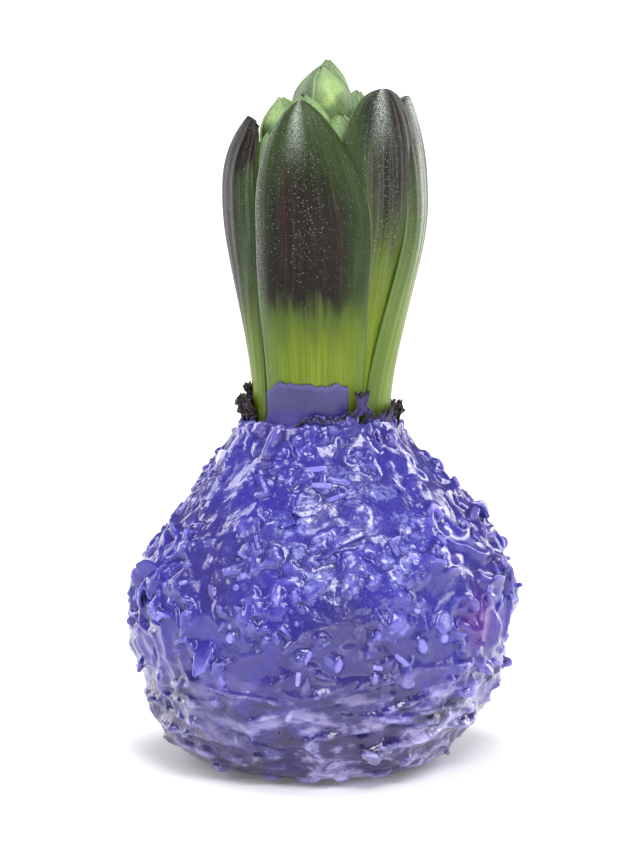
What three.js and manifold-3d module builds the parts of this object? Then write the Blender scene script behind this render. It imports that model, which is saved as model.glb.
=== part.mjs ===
// A waxed hyacinth bulb in bud. The bulb is sealed in a thick coat of wax with chips of wax under its skin,
// and stands on a flat foot. Five fleshy leaves rise from its neck round a head of closed flower buds.
// Millimetres, +Z up. The origin is the middle of the flat foot, and -Y is the front.
// An azimuth is an angle round the Z axis, in degrees from the front, positive towards +X.
import * as THREE from "three";
import { ParametricGeometry } from "three/addons/geometries/ParametricGeometry.js";
import { mergeVertices } from "three/addons/utils/BufferGeometryUtils.js";
import Module from "manifold-3d";

const wasm = await Module();
wasm.setup();

// Driving dimensions.
const GAP = 0.3; // between neighbouring pieces
const LOOSE_GAP = 0.4; // where a round hollow or the film faces a piece with other facets
const FOOT_RADIUS = 19; // flat spot under the coat
const COAT_RADIUS = 36.3; // widest part of the coat, without its chips
const RIM_HEIGHT = 67; // foot to the wax rim at the neck
const RIM_RADIUS = 15.2; // outside of the rim
const BULB_RADIUS = 31.5;
const BULB_BOTTOM = 4;
const NECK_HEIGHT = 62; // top of the bulb, which the leaves stand on
const LEAF_RING_RADIUS = 12.6; // outside of the outer leaves at the neck
const SKIN_RADIUS = LEAF_RING_RADIUS + GAP; // inside of the torn collar of skin
const SKIN_THICKNESS = 0.6;
const HEAD_TOP = 135.6; // tip of the top bud, the highest point

const { clamp, smoothstep, lerp, degToRad, seededRandom } = THREE.MathUtils;

const WAX_COLOUR = 0x4f46b0;
const BULB_COLOUR = 0xcfc0a8;
const SKIN_COLOUR = 0x3a2f38;
const LEAF_COLOUR = 0x4c6b2c;
const BUD_COLOUR = 0x83a852;

// A geometry as a solid that can be cut and joined.
function solidOf(geometry) {
  const bare = geometry.clone();
  bare.deleteAttribute("normal");
  bare.deleteAttribute("uv");
  const merged = mergeVertices(bare, 1e-3);
  return new wasm.Manifold(
    new wasm.Mesh({
      numProp: 3,
      vertProperties: merged.attributes.position.array,
      triVerts: new Uint32Array(merged.index.array),
    }),
  );
}

function geometryOf(solid) {
  const { vertProperties, triVerts } = solid.getMesh();
  const geometry = new THREE.BufferGeometry();
  geometry.setAttribute("position", new THREE.BufferAttribute(vertProperties, 3));
  geometry.setIndex(new THREE.BufferAttribute(triVerts, 1));
  geometry.computeVertexNormals();
  return geometry;
}

// An outline of [radius, height] points turned round the Z axis.
function turned(points, segments) {
  const profile = points.map(([radius, height]) => new THREE.Vector2(radius, height));
  return new THREE.LatheGeometry(profile, segments).rotateX(Math.PI / 2);
}

// A closed slab over a grid of places: across and up run from 0 to 1, and inside is 0 on its outer face and
// 1 on its inner one. The first and last stacks close its two ends.
function slab(place, slices, stacks) {
  const end = 1 / (stacks + 2);
  const surface = (u, v, target) => {
    const walk = u * (2 * slices + 2);
    const across = (clamp(walk, 0, slices) - clamp(walk - slices - 1, 0, slices)) / slices;
    const inside = clamp(walk - slices, 0, 1) - clamp(walk - 2 * slices - 1, 0, 1);
    const open = Math.min(1, v / end, (1 - v) / end);
    target.copy(place(across, clamp((v - end) / (1 - 2 * end), 0, 1), 0.5 + (inside - 0.5) * open));
  };
  return new ParametricGeometry(surface, 2 * slices + 2, stacks + 2);
}

function pieceOf(name, geometry, color, roughness) {
  const piece = new THREE.Mesh(geometry, new THREE.MeshStandardMaterial({ color, roughness, metalness: 0 }));
  piece.name = name;
  return piece;
}

// Bulb: a squat onion with a straight neck.

const BULB_OUTLINE = [
  [0.32, 0],
  [0.66, 0.05],
  [0.93, 0.22],
  [1, 0.42],
  [0.9, 0.62],
  [0.68, 0.78],
  [0.48, 0.9],
];

const BULB_ROWS = 11;
const BULB_SEGMENTS = 32;

// The bulb's outline, or the same outline grown by a clearance for the hollow that it lies in.
function bulbOutline(clearance) {
  const tall = NECK_HEIGHT - BULB_BOTTOM;
  const curve = new THREE.SplineCurve(
    BULB_OUTLINE.map(([across, up]) => new THREE.Vector2(across * BULB_RADIUS, BULB_BOTTOM + up * tall)),
  );
  const side = Array.from({ length: BULB_ROWS + 1 }, (_, row) => {
    const { x, y } = curve.getPointAt(row / BULB_ROWS);
    const run = curve.getTangentAt(row / BULB_ROWS);
    return [x + clearance * run.y, y - clearance * run.x];
  });
  const neck = SKIN_RADIUS + SKIN_THICKNESS + clearance;
  return [[0, BULB_BOTTOM - clearance], ...side, [neck, NECK_HEIGHT], [0, NECK_HEIGHT]];
}

function bulb() {
  return pieceOf("bulb", turned(bulbOutline(0), BULB_SEGMENTS), BULB_COLOUR, 0.8);
}

// Leaves: each is one thick blade, channelled round the head, widest at its belly, with a hooded tip.
// azimuth, radius and width are given at the neck, the belly and the tip: radius is that of the outer face
// along the midrib, and width is half the blade's width, measured along its curve.

const LEAVES = {
  leaf_front: {
    tip: 130.5, belly: 0.64, azimuth: [-6, -5.5, -15.5], radius: [12.6, 18.4, 13.8],
    width: [11.2, 12.9], bend: [12.6, 17.5], twist: 0, point: 0.62, thick: 2.4,
  },
  leaf_left: {
    tip: 125, belly: 0.78, azimuth: [-97, -91, -91], radius: [12.6, 18.7, 14],
    width: [8.2, 10.8], bend: [12.6, 10.5], twist: 0, point: 0.55, thick: 2.2,
  },
  leaf_inner: {
    tip: 132, belly: 0.76, azimuth: [46, 50, 49], radius: [10, 17, 15.6],
    width: [6.6, 9.6], bend: [10, 12.5], twist: 10, point: 0.55, thick: 1.7,
  },
  leaf_right: {
    tip: 129, belly: 0.7, azimuth: [86, 100, 94], radius: [12.6, 20.7, 17.2],
    width: [8.6, 8.8], bend: [12.6, 12], twist: 0, point: 0.6, thick: 2.2,
  },
  leaf_back: {
    tip: 122, belly: 0.68, azimuth: [178, 180, 176], radius: [12.6, 17.4, 14],
    width: [9, 10.4], bend: [12.6, 14], twist: 0, point: 0.6, thick: 2.2,
  },
};
const LEAF_FOOT = NECK_HEIGHT + GAP;
const LEAF_SLICES = 16;
const LEAF_STACKS = 18;
const LEAF_NECK = 0.06; // share of the length that stands straight in the neck
const TIP_THINNING = 0.1; // share of the length over which the tip runs out

// Eases a value from the neck to the belly, and on from the belly to the tip.
function along(leaf, share, [neck, belly, tip = belly], bow = 2) {
  if (share < leaf.belly) return lerp(neck, belly, smoothstep(share, LEAF_NECK, leaf.belly));
  return lerp(belly, tip, ((share - leaf.belly) / (1 - leaf.belly)) ** bow);
}

function midrib(leaf, share) {
  const azimuth = degToRad(along(leaf, share, leaf.azimuth, 1.4));
  const radius = along(leaf, share, leaf.radius, 2.4);
  return new THREE.Vector3(
    radius * Math.sin(azimuth),
    -radius * Math.cos(azimuth),
    lerp(LEAF_FOOT, leaf.tip, share),
  );
}

// A point of a leaf: share runs from foot to tip, across from margin to margin (-1 to 1), and depth is
// how far it lies under the outer face.
function leafPoint(leaf, share, across, depth) {
  const past = Math.max(0, (share - leaf.belly) / (1 - leaf.belly));
  const taper = (1 - past ** 2) ** leaf.point;
  const width = along(leaf, share, leaf.width) * taper;
  const bend = along(leaf, share, leaf.bend) * Math.max(taper, 0.05) ** 0.8;

  const step = 1e-3;
  const middle = midrib(leaf, share);
  const up = midrib(leaf, Math.min(1, share + step))
    .sub(midrib(leaf, Math.max(0, share - step)))
    .normalize();
  const azimuth = degToRad(along(leaf, share, leaf.azimuth, 1.4) - along(leaf, share, [0, leaf.twist]));
  const sideways = new THREE.Vector3(Math.cos(azimuth), Math.sin(azimuth), 0);
  const outwards = new THREE.Vector3().crossVectors(sideways, up).normalize();

  const turn = (across * width) / bend;
  const facing = outwards.clone().multiplyScalar(Math.cos(turn)).addScaledVector(sideways, Math.sin(turn));
  return middle.addScaledVector(outwards, -bend).addScaledVector(facing, bend - depth);
}

function leafGeometry(leaf) {
  const foot = 1 / (LEAF_STACKS + 1); // the first stack closes the foot
  const blade = (u, v, target) => {
    const turn = 2 * Math.PI * u;
    const across = -Math.cos(turn);
    const share = 1 - (1 - Math.max(0, (v - foot) / (1 - foot))) ** 1.4;
    const thick = leaf.thick * Math.min(1, (1 - share) / TIP_THINNING) ** 0.5;
    const open = Math.min(1, v / foot) * Math.sign(Math.sin(turn)) * Math.abs(Math.sin(turn)) ** 0.5;
    target.copy(leafPoint(leaf, share, across, (thick * (1 - open)) / 2));
  };
  return new ParametricGeometry(blade, LEAF_SLICES, LEAF_STACKS + 1);
}

function leaves() {
  return Object.entries(LEAVES).map(([name, leaf]) => pieceOf(name, leafGeometry(leaf), LEAF_COLOUR, 0.35));
}

// Wax coat: a turned body with a raised relief of chips, hollow where the bulb lies.

const COAT_OUTLINE = [
  [FOOT_RADIUS, 0],
  [25.5, 1.8],
  [29.6, 5.2],
  [32.2, 10],
  [34.4, 16.5],
  [COAT_RADIUS - 0.4, 23.5],
  [COAT_RADIUS, 30.5],
  [35, 38],
  [31, 44.8],
  [26.4, 51],
  [21.6, 57],
  [17.6, 62.2],
  [RIM_RADIUS, RIM_HEIGHT],
];
const COAT_ROWS = 34;
const COAT_SEGMENTS = 80;
const SHOULDER_SHIFT = 1.8; // the shoulder leans towards +X
const SHOULDER_HEIGHT = 49;
const CHIPS = 120;
const GOLDEN_ANGLE = Math.PI * (3 - Math.sqrt(5));

// Chips under the wax, spread evenly down the outline: place along and round it, half sizes, turn and height.
function chipsOfWax(outlineLength) {
  seededRandom(11);
  return Array.from({ length: CHIPS }, (_, i) => ({
    down: outlineLength * (0.12 + (0.84 * (i + 0.5)) / CHIPS),
    round: i * GOLDEN_ANGLE,
    long: lerp(2.4, 5, seededRandom()),
    wide: lerp(1.6, 2.8, seededRandom()),
    turn: Math.PI * seededRandom(),
    high: lerp(0.6, 1.5, seededRandom()),
  }));
}

// How far the highest chip at a place stands out of the wax.
function chipHeight(chips, down, round, radius) {
  const heights = chips.map((chip) => {
    const away = Math.atan2(Math.sin(round - chip.round), Math.cos(round - chip.round)) * radius;
    const below = down - chip.down;
    const lengthwise = (away * Math.cos(chip.turn) + below * Math.sin(chip.turn)) / chip.long;
    const crosswise = (below * Math.cos(chip.turn) - away * Math.sin(chip.turn)) / chip.wide;
    return chip.high * (1 - smoothstep(Math.hypot(lengthwise, crosswise), 0.6, 1.1));
  });
  return Math.max(...heights);
}

// Slow swells all over, folds round the lower part where the soft wax sagged, and a flatter side low down.
function swell(round, height) {
  const lumps = 0.5 * Math.sin(3 * round + height / 9) + 0.35 * Math.sin(5 * round - height / 6 + 1);
  const wander = 1.6 * Math.sin(round + 0.7) + 0.9 * Math.sin(3 * round);
  const folds = (0.6 + 0.3 * Math.sin(2 * round + 1)) * Math.sin((2 * Math.PI * height) / 9 + wander);
  const flat = 2.2 * Math.max(0, Math.sin(round)) * (1 - smoothstep(height, 6, 18));
  return lumps + folds * (1 - smoothstep(height, 12, 20)) - flat;
}

function coatBody() {
  const curve = new THREE.SplineCurve(COAT_OUTLINE.map((point) => new THREE.Vector2(...point)));
  const outline = curve.getSpacedPoints(COAT_ROWS);
  const outlineLength = curve.getLength();
  const chips = chipsOfWax(outlineLength);
  const profile = [[0, 0], ...outline.map(({ x, y }) => [x, y]), [0, RIM_HEIGHT]];
  const body = turned(profile, COAT_SEGMENTS);
  const place = body.getAttribute("position");
  for (let segment = 0; segment <= COAT_SEGMENTS; segment++) {
    const round = ((segment % COAT_SEGMENTS) / COAT_SEGMENTS) * 2 * Math.PI;
    for (let row = 1; row <= COAT_ROWS; row++) {
      const { x: radius, y: height } = outline[row];
      const down = (row / COAT_ROWS) * outlineLength;
      const fade = smoothstep(height, 0, 4) * (1 - 0.7 * smoothstep(height, RIM_HEIGHT - 6, RIM_HEIGHT));
      const raised = radius + fade * (swell(round, height) + chipHeight(chips, down, round, radius));
      const shift = SHOULDER_SHIFT * Math.exp(-(((height - SHOULDER_HEIGHT) / 9) ** 2));
      const index = segment * profile.length + row + 1;
      place.setX(index, raised * Math.sin(round) + shift);
      place.setY(index, -raised * Math.cos(round));
    }
  }
  return solidOf(body);
}

// The hollow in the coat: the bulb's own shape, and the round neck that leaves and skin come out of.
function coatHollow() {
  const neck = SKIN_RADIUS + SKIN_THICKNESS + LOOSE_GAP;
  const above = RIM_HEIGHT + 5;
  const outline = [...bulbOutline(GAP).slice(0, -1), [neck, NECK_HEIGHT + GAP], [neck, above], [0, above]];
  return solidOf(turned(outline, BULB_SEGMENTS));
}

// A loose flake of wax that stands out of the left shoulder.
const FLAKE = { length: 9, halfWidth: 3.2, radius: 17.5, height: 60, lean: 75 };

function looseFlake() {
  const flake = new THREE.ConeGeometry(FLAKE.halfWidth, FLAKE.length, 4)
    .scale(1, 1, 0.45)
    .rotateX(Math.PI / 2)
    .rotateY(degToRad(-FLAKE.lean))
    .translate(-FLAKE.radius, 0, FLAKE.height);
  return solidOf(flake);
}

// The smooth film of wax up the front leaf: it lies a clearance outside the leaf, runs into the rim at its
// thick foot, and has a torn upper edge.
const FILM_FOOT = 63.5; // sunk in the rim
const FILM_TOP = 73.4;
const FILM_REACH = [-0.82, 0.76]; // across the front leaf
const FILM_THICKNESS = 0.7;
const FILM_FOOT_THICKNESS = 1.9;

function waxFilm() {
  const leaf = LEAVES.leaf_front;
  const shareAt = (height) => (height - LEAF_FOOT) / (leaf.tip - LEAF_FOOT);
  const place = (across, up, inside) => {
    const torn = 0.4 * Math.sin(14 * across + 1) + 0.3 * Math.sin(37 * across) - 5 * (across - 0.55) ** 2;
    const share = lerp(shareAt(FILM_FOOT), shareAt(FILM_TOP + torn), up);
    const thickness = lerp(FILM_FOOT_THICKNESS, FILM_THICKNESS, smoothstep(up, 0.2, 0.5));
    return leafPoint(leaf, share, lerp(...FILM_REACH, across), -LOOSE_GAP - (1 - inside) * thickness);
  };
  return solidOf(slab(place, 20, 5));
}

function waxCoat() {
  const coat = coatBody().add(looseFlake()).subtract(coatHollow()).add(waxFilm());
  return pieceOf("wax_coat", geometryOf(coat), WAX_COLOUR, 0.25);
}

// The bulb's dry skin: a thin torn collar that stands on the bulb between leaves and rim, open at the film.
const SKIN_REACH = [43, 301]; // azimuths of its two ends
const SKIN_FLARE = 0.22; // how far it leans out for each millimetre above the rim
const SKIN_STACKS = 3;
const SKIN_TONGUES = [
  // azimuth, half width in degrees, height
  [47, 9, 4.4],
  [84, 11, 1.6],
  [132, 9, 2.4],
  [176, 12, 1.8],
  [222, 10, 2.8],
  [268, 8, 5.2],
  [286, 7, 2.6],
];

function bulbSkin() {
  const place = (across, up, inside) => {
    const azimuth = lerp(...SKIN_REACH, across);
    const turn = degToRad(azimuth);
    const tongues = SKIN_TONGUES.map(
      ([middle, half, high]) => high * (1 - smoothstep(Math.abs(azimuth - middle), 0, half)),
    );
    const torn = 1 + 0.5 * Math.sin(13 * turn) + 0.4 * Math.sin(29 * turn + 2);
    const inNeck = 1 / SKIN_STACKS; // the first stack stands inside the rim, and the others lean out over it
    const above = (torn + Math.max(...tongues)) * Math.max(0, (up - inNeck) / (1 - inNeck));
    const height = lerp(LEAF_FOOT, RIM_HEIGHT, Math.min(1, up / inNeck)) + above;
    const wave = 0.06 * above * Math.sin(17 * turn);
    const radius = SKIN_RADIUS + SKIN_FLARE * above + wave + (1 - inside) * SKIN_THICKNESS;
    return new THREE.Vector3(radius * Math.sin(turn), -radius * Math.cos(turn), height);
  };
  return pieceOf("bulb_skin", slab(place, 56, SKIN_STACKS), SKIN_COLOUR, 0.9);
}

// Flower head: a stem with closed buds, all one piece. One bud stands on top, and the others wind down the
// stem from it. A bud has three outer petals, each with one edge over the next.

const STEM_RADIUS = 4.6;
const STEM_OUTLINE = [
  [0, LEAF_FOOT],
  [STEM_RADIUS, LEAF_FOOT],
  [STEM_RADIUS, 80],
  [7, 90],
  [7, 108],
  [4, 122],
  [0, 124],
];
const BUD_LENGTH = 19;
const BUD_RADIUS = 5.2;
const BUDS = 21; // below the top one
const BUD_LEAN = 13; // degrees outwards
const FIRST_BUD = { azimuth: -25, foot: 112, out: 3.4 }; // where its foot stands: out is from the axis
const LAST_BUD_FOOT = 80;
const LOWER_BUD_OUT = 4.8;

function budGeometry() {
  const bud = (u, v, target) => {
    const overlap = 0.9 + 0.12 * ((3 * u) % 1);
    const petals = lerp(1, overlap, smoothstep(v, 0.2, 0.5));
    const radius = BUD_RADIUS * petals * (1 - Math.abs(2 * v ** 1.4 - 1) ** 2.4) ** 0.75;
    const turn = 2 * Math.PI * u;
    target.set(radius * Math.cos(turn), radius * Math.sin(turn), BUD_LENGTH * v);
  };
  return new ParametricGeometry(bud, 12, 8);
}

function flowerHead() {
  const topBud = budGeometry().translate(0, 0, HEAD_TOP - BUD_LENGTH);
  let head = solidOf(turned(STEM_OUTLINE, 12)).add(solidOf(topBud));
  for (let i = 0; i < BUDS; i++) {
    const foot = lerp(FIRST_BUD.foot, LAST_BUD_FOOT, (i / (BUDS - 1)) ** 1.15);
    const out = lerp(FIRST_BUD.out, LOWER_BUD_OUT, smoothstep(i, 0, 5));
    const bud = budGeometry()
      .rotateZ(2 * i)
      .rotateX(degToRad(BUD_LEAN))
      .translate(0, -out, foot)
      .rotateZ(degToRad(FIRST_BUD.azimuth) + i * GOLDEN_ANGLE);
    head = head.add(solidOf(bud));
  }
  return pieceOf("flower_head", geometryOf(head), BUD_COLOUR, 0.6);
}

const group = new THREE.Group();
group.add(bulb(), waxCoat(), bulbSkin(), ...leaves(), flowerHead());

export default group;
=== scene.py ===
"""A waxed hyacinth bulb in bud: the wax, leaves, buds and skin modelled over the CAD frame.

Lengths in the settings are in metres, and the tables of leaves and buds are in millimetres.
"""

import math
import random

import bpy
from bpy.props import FloatProperty, FloatVectorProperty, IntProperty, PointerProperty
from mathutils import Euler, Matrix, Vector, noise
from mathutils.bvhtree import BVHTree


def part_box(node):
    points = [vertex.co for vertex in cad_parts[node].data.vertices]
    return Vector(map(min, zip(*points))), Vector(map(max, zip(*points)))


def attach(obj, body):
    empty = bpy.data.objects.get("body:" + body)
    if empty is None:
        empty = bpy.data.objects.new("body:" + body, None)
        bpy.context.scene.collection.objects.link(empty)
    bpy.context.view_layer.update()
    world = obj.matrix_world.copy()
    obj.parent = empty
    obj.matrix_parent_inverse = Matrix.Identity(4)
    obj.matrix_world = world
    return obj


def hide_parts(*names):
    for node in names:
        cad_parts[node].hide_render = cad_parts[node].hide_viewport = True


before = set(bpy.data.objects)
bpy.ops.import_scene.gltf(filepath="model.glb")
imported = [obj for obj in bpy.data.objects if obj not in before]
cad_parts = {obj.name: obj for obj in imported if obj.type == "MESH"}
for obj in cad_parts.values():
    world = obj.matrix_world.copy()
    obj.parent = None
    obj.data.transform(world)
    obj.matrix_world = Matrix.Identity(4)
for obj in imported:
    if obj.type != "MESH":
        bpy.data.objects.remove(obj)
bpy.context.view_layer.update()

bl_info = {
    "name": "Waxed Hyacinth Bulb",
    "version": (1, 0, 0),
    "blender": (4, 5, 0),
    "location": "View3D > Sidebar > Hyacinth",
    "description": "Models a waxed hyacinth bulb in bud over its CAD frame",
    "category": "Add Mesh",
}

MM = 0.001

# Heights and radii that the pieces share, from the frame.
BULB_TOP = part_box("bulb")[1].z
HEAD_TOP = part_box("flower_head")[1].z
LEAF_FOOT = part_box("leaf_front")[0].z
RIM_HEIGHT = BULB_TOP + 5 * MM
NECK_RADIUS = 13.9 * MM


# ---- Working with objects and meshes ----


def pick(*pieces):
    """Selects only these objects and makes the first one active."""
    bpy.ops.object.select_all(action="DESELECT")
    for piece in pieces:
        piece.select_set(True)
    bpy.context.view_layer.objects.active = pieces[0]


def named(name):
    """Names the active object and its mesh."""
    piece = bpy.context.active_object
    piece.name = name
    piece.data.name = name
    return piece


def modify(piece, kind, **settings):
    """Adds a modifier with these settings and applies it."""
    pick(piece)
    modifier = piece.modifiers.new(kind.title(), kind)
    for key, value in settings.items():
        setattr(modifier, key, value)
    bpy.ops.object.modifier_apply(modifier=modifier.name)


def joined(pieces, name):
    """Joins objects into one that sits at the origin."""
    pick(*pieces)
    if len(pieces) > 1:
        bpy.ops.object.join()
    piece = named(name)
    bpy.ops.object.transform_apply(location=True, rotation=True, scale=True)
    return piece


def merge_points(piece, distance=1e-6, face_out=True):
    """Merges points that lie together, and turns every face outwards."""
    pick(piece)
    bpy.ops.object.mode_set(mode="EDIT")
    bpy.ops.mesh.select_all(action="SELECT")
    bpy.ops.mesh.remove_doubles(threshold=distance)
    if face_out:
        bpy.ops.mesh.normals_make_consistent(inside=False)
    bpy.ops.object.mode_set(mode="OBJECT")


def smooth_shaded(piece, angle=None):
    """Shades a piece smooth, or smooth only across edges that turn less than an angle."""
    pick(piece)
    if angle is None:
        bpy.ops.object.shade_smooth()
    else:
        bpy.ops.object.shade_smooth_by_angle(angle=angle)


def finished(piece, material, nodes):
    """Dresses a piece, lets it ride with the root body, and hides the CAD nodes it stands for."""
    piece.data.materials.clear()
    piece.data.materials.append(material)
    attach(piece, "root")
    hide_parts(*nodes)


def clone(model, matrix):
    """A copy of a piece with its own mesh, put in place by a matrix."""
    piece = bpy.data.objects.new(model.name, model.data.copy())
    bpy.context.scene.collection.objects.link(piece)
    piece.matrix_world = matrix
    return piece


def painted(piece, name, colours):
    """Stores a colour for each point of a piece."""
    layer = piece.data.color_attributes.new(name, "FLOAT_COLOR", "POINT")
    for point, colour in zip(layer.data, colours):
        point.color = (*colour, 1)
    return piece


def sheet(name, columns, rows, place, crowd=1.0):
    """A grid laid out by place(across, along), both from 0 to 1, with the same two numbers as its UV map.

    With a crowd over 1 its rows lie closer together towards the end."""
    bpy.ops.mesh.primitive_grid_add(x_subdivisions=columns, y_subdivisions=rows, size=1, calc_uvs=True)
    piece = named(name)
    share = {}
    for vertex in piece.data.vertices:
        across, along = vertex.co.x + 0.5, 1 - (1 - min(1, vertex.co.y + 0.5)) ** crowd
        share[vertex.index] = (across, along)
        vertex.co = place(across, along)
    layer = piece.data.uv_layers.active
    layer.name = "surface"
    for loop in piece.data.loops:
        layer.data[loop.index].uv = share[loop.vertex_index]
    return piece


def thickness_group(piece, weight):
    """A vertex group that thins a sheet: weight(across, along) is from 0 to 1."""
    group = piece.vertex_groups.new(name="thick")
    uv = piece.data.uv_layers["surface"].data
    for loop in piece.data.loops:
        group.add([loop.vertex_index], weight(*uv[loop.index].uv), "REPLACE")
    return group.name


def smoothstep(value, low, high):
    share = min(1.0, max(0.0, (value - low) / (high - low)))
    return share * share * (3 - 2 * share)


def lerp(a, b, share):
    return a + (b - a) * share


def around(azimuth, radius=1.0, height=0.0):
    """The point at an azimuth from the front, this far from the axis and this high."""
    return Vector((radius * math.sin(azimuth), -radius * math.cos(azimuth), height))


def lump(point, size, seed=0.0):
    """Smooth noise from -1 to 1 whose lumps are about size across."""
    return noise.noise(Vector(point) / size + Vector((seed, seed, seed)))


# ---- Working with node materials ----


class Output:
    """What a node gives out. Arithmetic with it adds maths nodes to the material."""

    def __init__(self, finish, socket):
        self.finish = finish
        self.socket = socket

    def __add__(self, other):
        return self.finish.maths("ADD", self, other)

    def __sub__(self, other):
        return self.finish.maths("SUBTRACT", self, other)

    def __mul__(self, other):
        return self.finish.maths("MULTIPLY", self, other)

    def __abs__(self):
        return self.finish.maths("ABSOLUTE", self)

    def between(self, low, high):
        """0 where the value is under low and 1 where it is over high, or the other way round."""
        values = {"Value": self, "From Min": low, "From Max": high}
        return self.finish.add("ShaderNodeMapRange", values, "Result", interpolation_type="SMOOTHSTEP")

    def ramp(self, low, high, start=0.0, end=1.0):
        """Goes evenly from low to high while the value goes from start to end."""
        values = {"Value": self, "From Min": start, "From Max": end, "To Min": low, "To Max": high}
        return self.finish.add("ShaderNodeMapRange", values, "Result")


class Finish:
    """A node material whose colour is laid on in layers, each over a share of what is there."""

    def __init__(self, name, colour, **shader_inputs):
        self.material = bpy.data.materials.new(name)
        self.material.use_nodes = True
        self.tree = self.material.node_tree
        self.colour = colour
        self.shade(**shader_inputs)

    def shade(self, **shader_inputs):
        """Feeds inputs of the shader. Their names are written with underscores."""
        shader = self.tree.nodes["Principled BSDF"]
        for name, value in shader_inputs.items():
            self.feed(shader.inputs[name.replace("_", " ")], value)

    def feed(self, socket, value):
        """Links an output to a socket, or sets the socket to a number, a vector or a colour."""
        if isinstance(value, Output):
            self.tree.links.new(value.socket, socket)
        elif socket.type == "RGBA":
            socket.default_value = (*value, 1)
        else:
            socket.default_value = value

    def add(self, kind, values, *outputs, **settings):
        """Adds a node and gives back one of its outputs, or a list of several."""
        node = self.tree.nodes.new(kind)
        for key, value in settings.items():
            setattr(node, key, value)
        for key, value in values.items():
            self.feed(node.inputs[key], value)
        found = [Output(self, node.outputs[key]) for key in outputs]
        return found[0] if len(found) == 1 else found

    def place(self, stretch=(1, 1, 1)):
        """Object coordinates, stretched."""
        source = self.add("ShaderNodeTexCoord", {}, "Object")
        return self.add("ShaderNodeMapping", {"Vector": source, "Scale": stretch}, "Vector")

    def height(self, where):
        """How high a point lies, in millimetres."""
        return self.add("ShaderNodeSeparateXYZ", {"Vector": where}, "Z") * (1 / MM)

    def away(self, where, centre):
        """The distance from a centre that is given in millimetres."""
        values = {0: where, 1: [part * MM for part in centre]}
        return self.add("ShaderNodeVectorMath", values, "Value", operation="DISTANCE")

    def surface(self):
        """The across and along shares of a sheet's own map."""
        source = self.add("ShaderNodeUVMap", {}, "UV", uv_map="surface")
        return self.add("ShaderNodeSeparateXYZ", {"Vector": source}, "X", "Y")

    def attribute(self, name):
        """The three numbers of a colour attribute."""
        source = self.add("ShaderNodeAttribute", {}, "Color", attribute_name=name)
        return self.add("ShaderNodeSeparateColor", {"Color": source}, "Red", "Green", "Blue")

    def maths(self, operation, a, b=0.0, clamp=False):
        return self.add("ShaderNodeMath", {0: a, 1: b}, "Value", operation=operation, use_clamp=clamp)

    def noise(self, where, scale, detail, roughness=0.5):
        values = {"Vector": where, "Scale": scale, "Detail": detail, "Roughness": roughness}
        return self.add("ShaderNodeTexNoise", values, "Fac")

    def streaks(self, across, along, detail, roughness=0.5):
        """Noise over a sheet, as fine across and along as the two shares are multiplied."""
        where = self.add("ShaderNodeCombineXYZ", {"X": across, "Y": along}, "Vector")
        return self.noise(where, 1.0, detail, roughness)

    def spots(self, where, scale):
        """The distance from the nearest of many scattered points."""
        return self.add("ShaderNodeTexVoronoi", {"Vector": where, "Scale": scale}, "Distance")

    def mix(self, share, a, b):
        """Colour a with colour b over a share of it."""
        return self.add("ShaderNodeMix", {0: share, 6: a, 7: b}, 2, data_type="RGBA")

    def tint(self, share, colour):
        """Lays the next colour over a share of the material's colour."""
        self.colour = self.mix(share, self.colour, colour)

    def bump(self, height, strength, distance, normal=None):
        values = {"Height": height, "Strength": strength, "Distance": distance}
        if normal is not None:
            values["Normal"] = normal
        return self.add("ShaderNodeBump", values, "Normal")

    def done(self, **shader_inputs):
        self.shade(Base_Color=self.colour, **shader_inputs)
        return self.material


# ---- Settings ----


def colour_setting(name, description, default):
    return FloatVectorProperty(
        name=name, description=description, default=default, subtype="COLOR", size=3, min=0, max=1
    )


def length_setting(name, description, default):
    return FloatProperty(name=name, description=description, default=default, unit="LENGTH", min=0)


def count_setting(name, description, default):
    return IntProperty(name=name, description=description, default=default, min=1)


class WaxSettings(bpy.types.PropertyGroup):
    """The dyed wax and the chips in it."""

    melted: count_setting("Melted chips", "Chips that melted into the wax", 740)
    crisp: count_setting("Crisp chips", "Small chips that kept their edges", 190)
    seed: count_setting("Seed", "Where the chips fall", 4)
    voxel: length_setting("Detail", "Size of the finest step of the wax surface", 0.32 * MM)
    swell: length_setting("Swell", "Height of the slow lumps all over the wax", 0.62 * MM)
    deep: colour_setting("Deep", "Wax in the hollows", (0.039, 0.03, 0.26))
    pale: colour_setting("Pale", "Wax of the chips", (0.18, 0.17, 0.6))
    grey: colour_setting("Grey", "Wax round the foot", (0.042, 0.031, 0.135))
    stain: colour_setting("Stain", "The pink stain on the right", (0.17, 0.035, 0.26))


class LeafSettings(bpy.types.PropertyGroup):
    """The five leaves."""

    dark: colour_setting("Dark", "Purple brown of the upper leaf", (0.008, 0.0045, 0.0045))
    green: colour_setting("Green", "Green at the margins and the tip", (0.034, 0.056, 0.016))
    base: colour_setting("Base", "Yellow green of the lower leaf", (0.125, 0.18, 0.014))
    ribs: count_setting("Ribs", "Parallel ribs across a leaf", 17)
    rib_height: length_setting("Rib height", "How far the ribs stand out", 0.05 * MM)


class BudSettings(bpy.types.PropertyGroup):
    """The closed flower buds."""

    green: colour_setting("Green", "Green of the petals", (0.215, 0.33, 0.135))
    bright: colour_setting("Bright", "Yellow green along the ribs of the petals", (0.62, 0.78, 0.26))
    seed: count_setting("Seed", "How bright each petal is", 5)
    thickness: length_setting("Petal thickness", "Thickness of a petal at its rib", 1.1 * MM)


class SkinSettings(bpy.types.PropertyGroup):
    """The torn dry skin at the neck."""

    colour: colour_setting("Skin", "Dry skin", (0.02, 0.013, 0.014))
    dust: colour_setting("Dust", "Pale dust on its torn edges", (0.2, 0.17, 0.2))
    thickness: length_setting("Thickness", "Thickness of the skin", 0.22 * MM)


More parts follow.
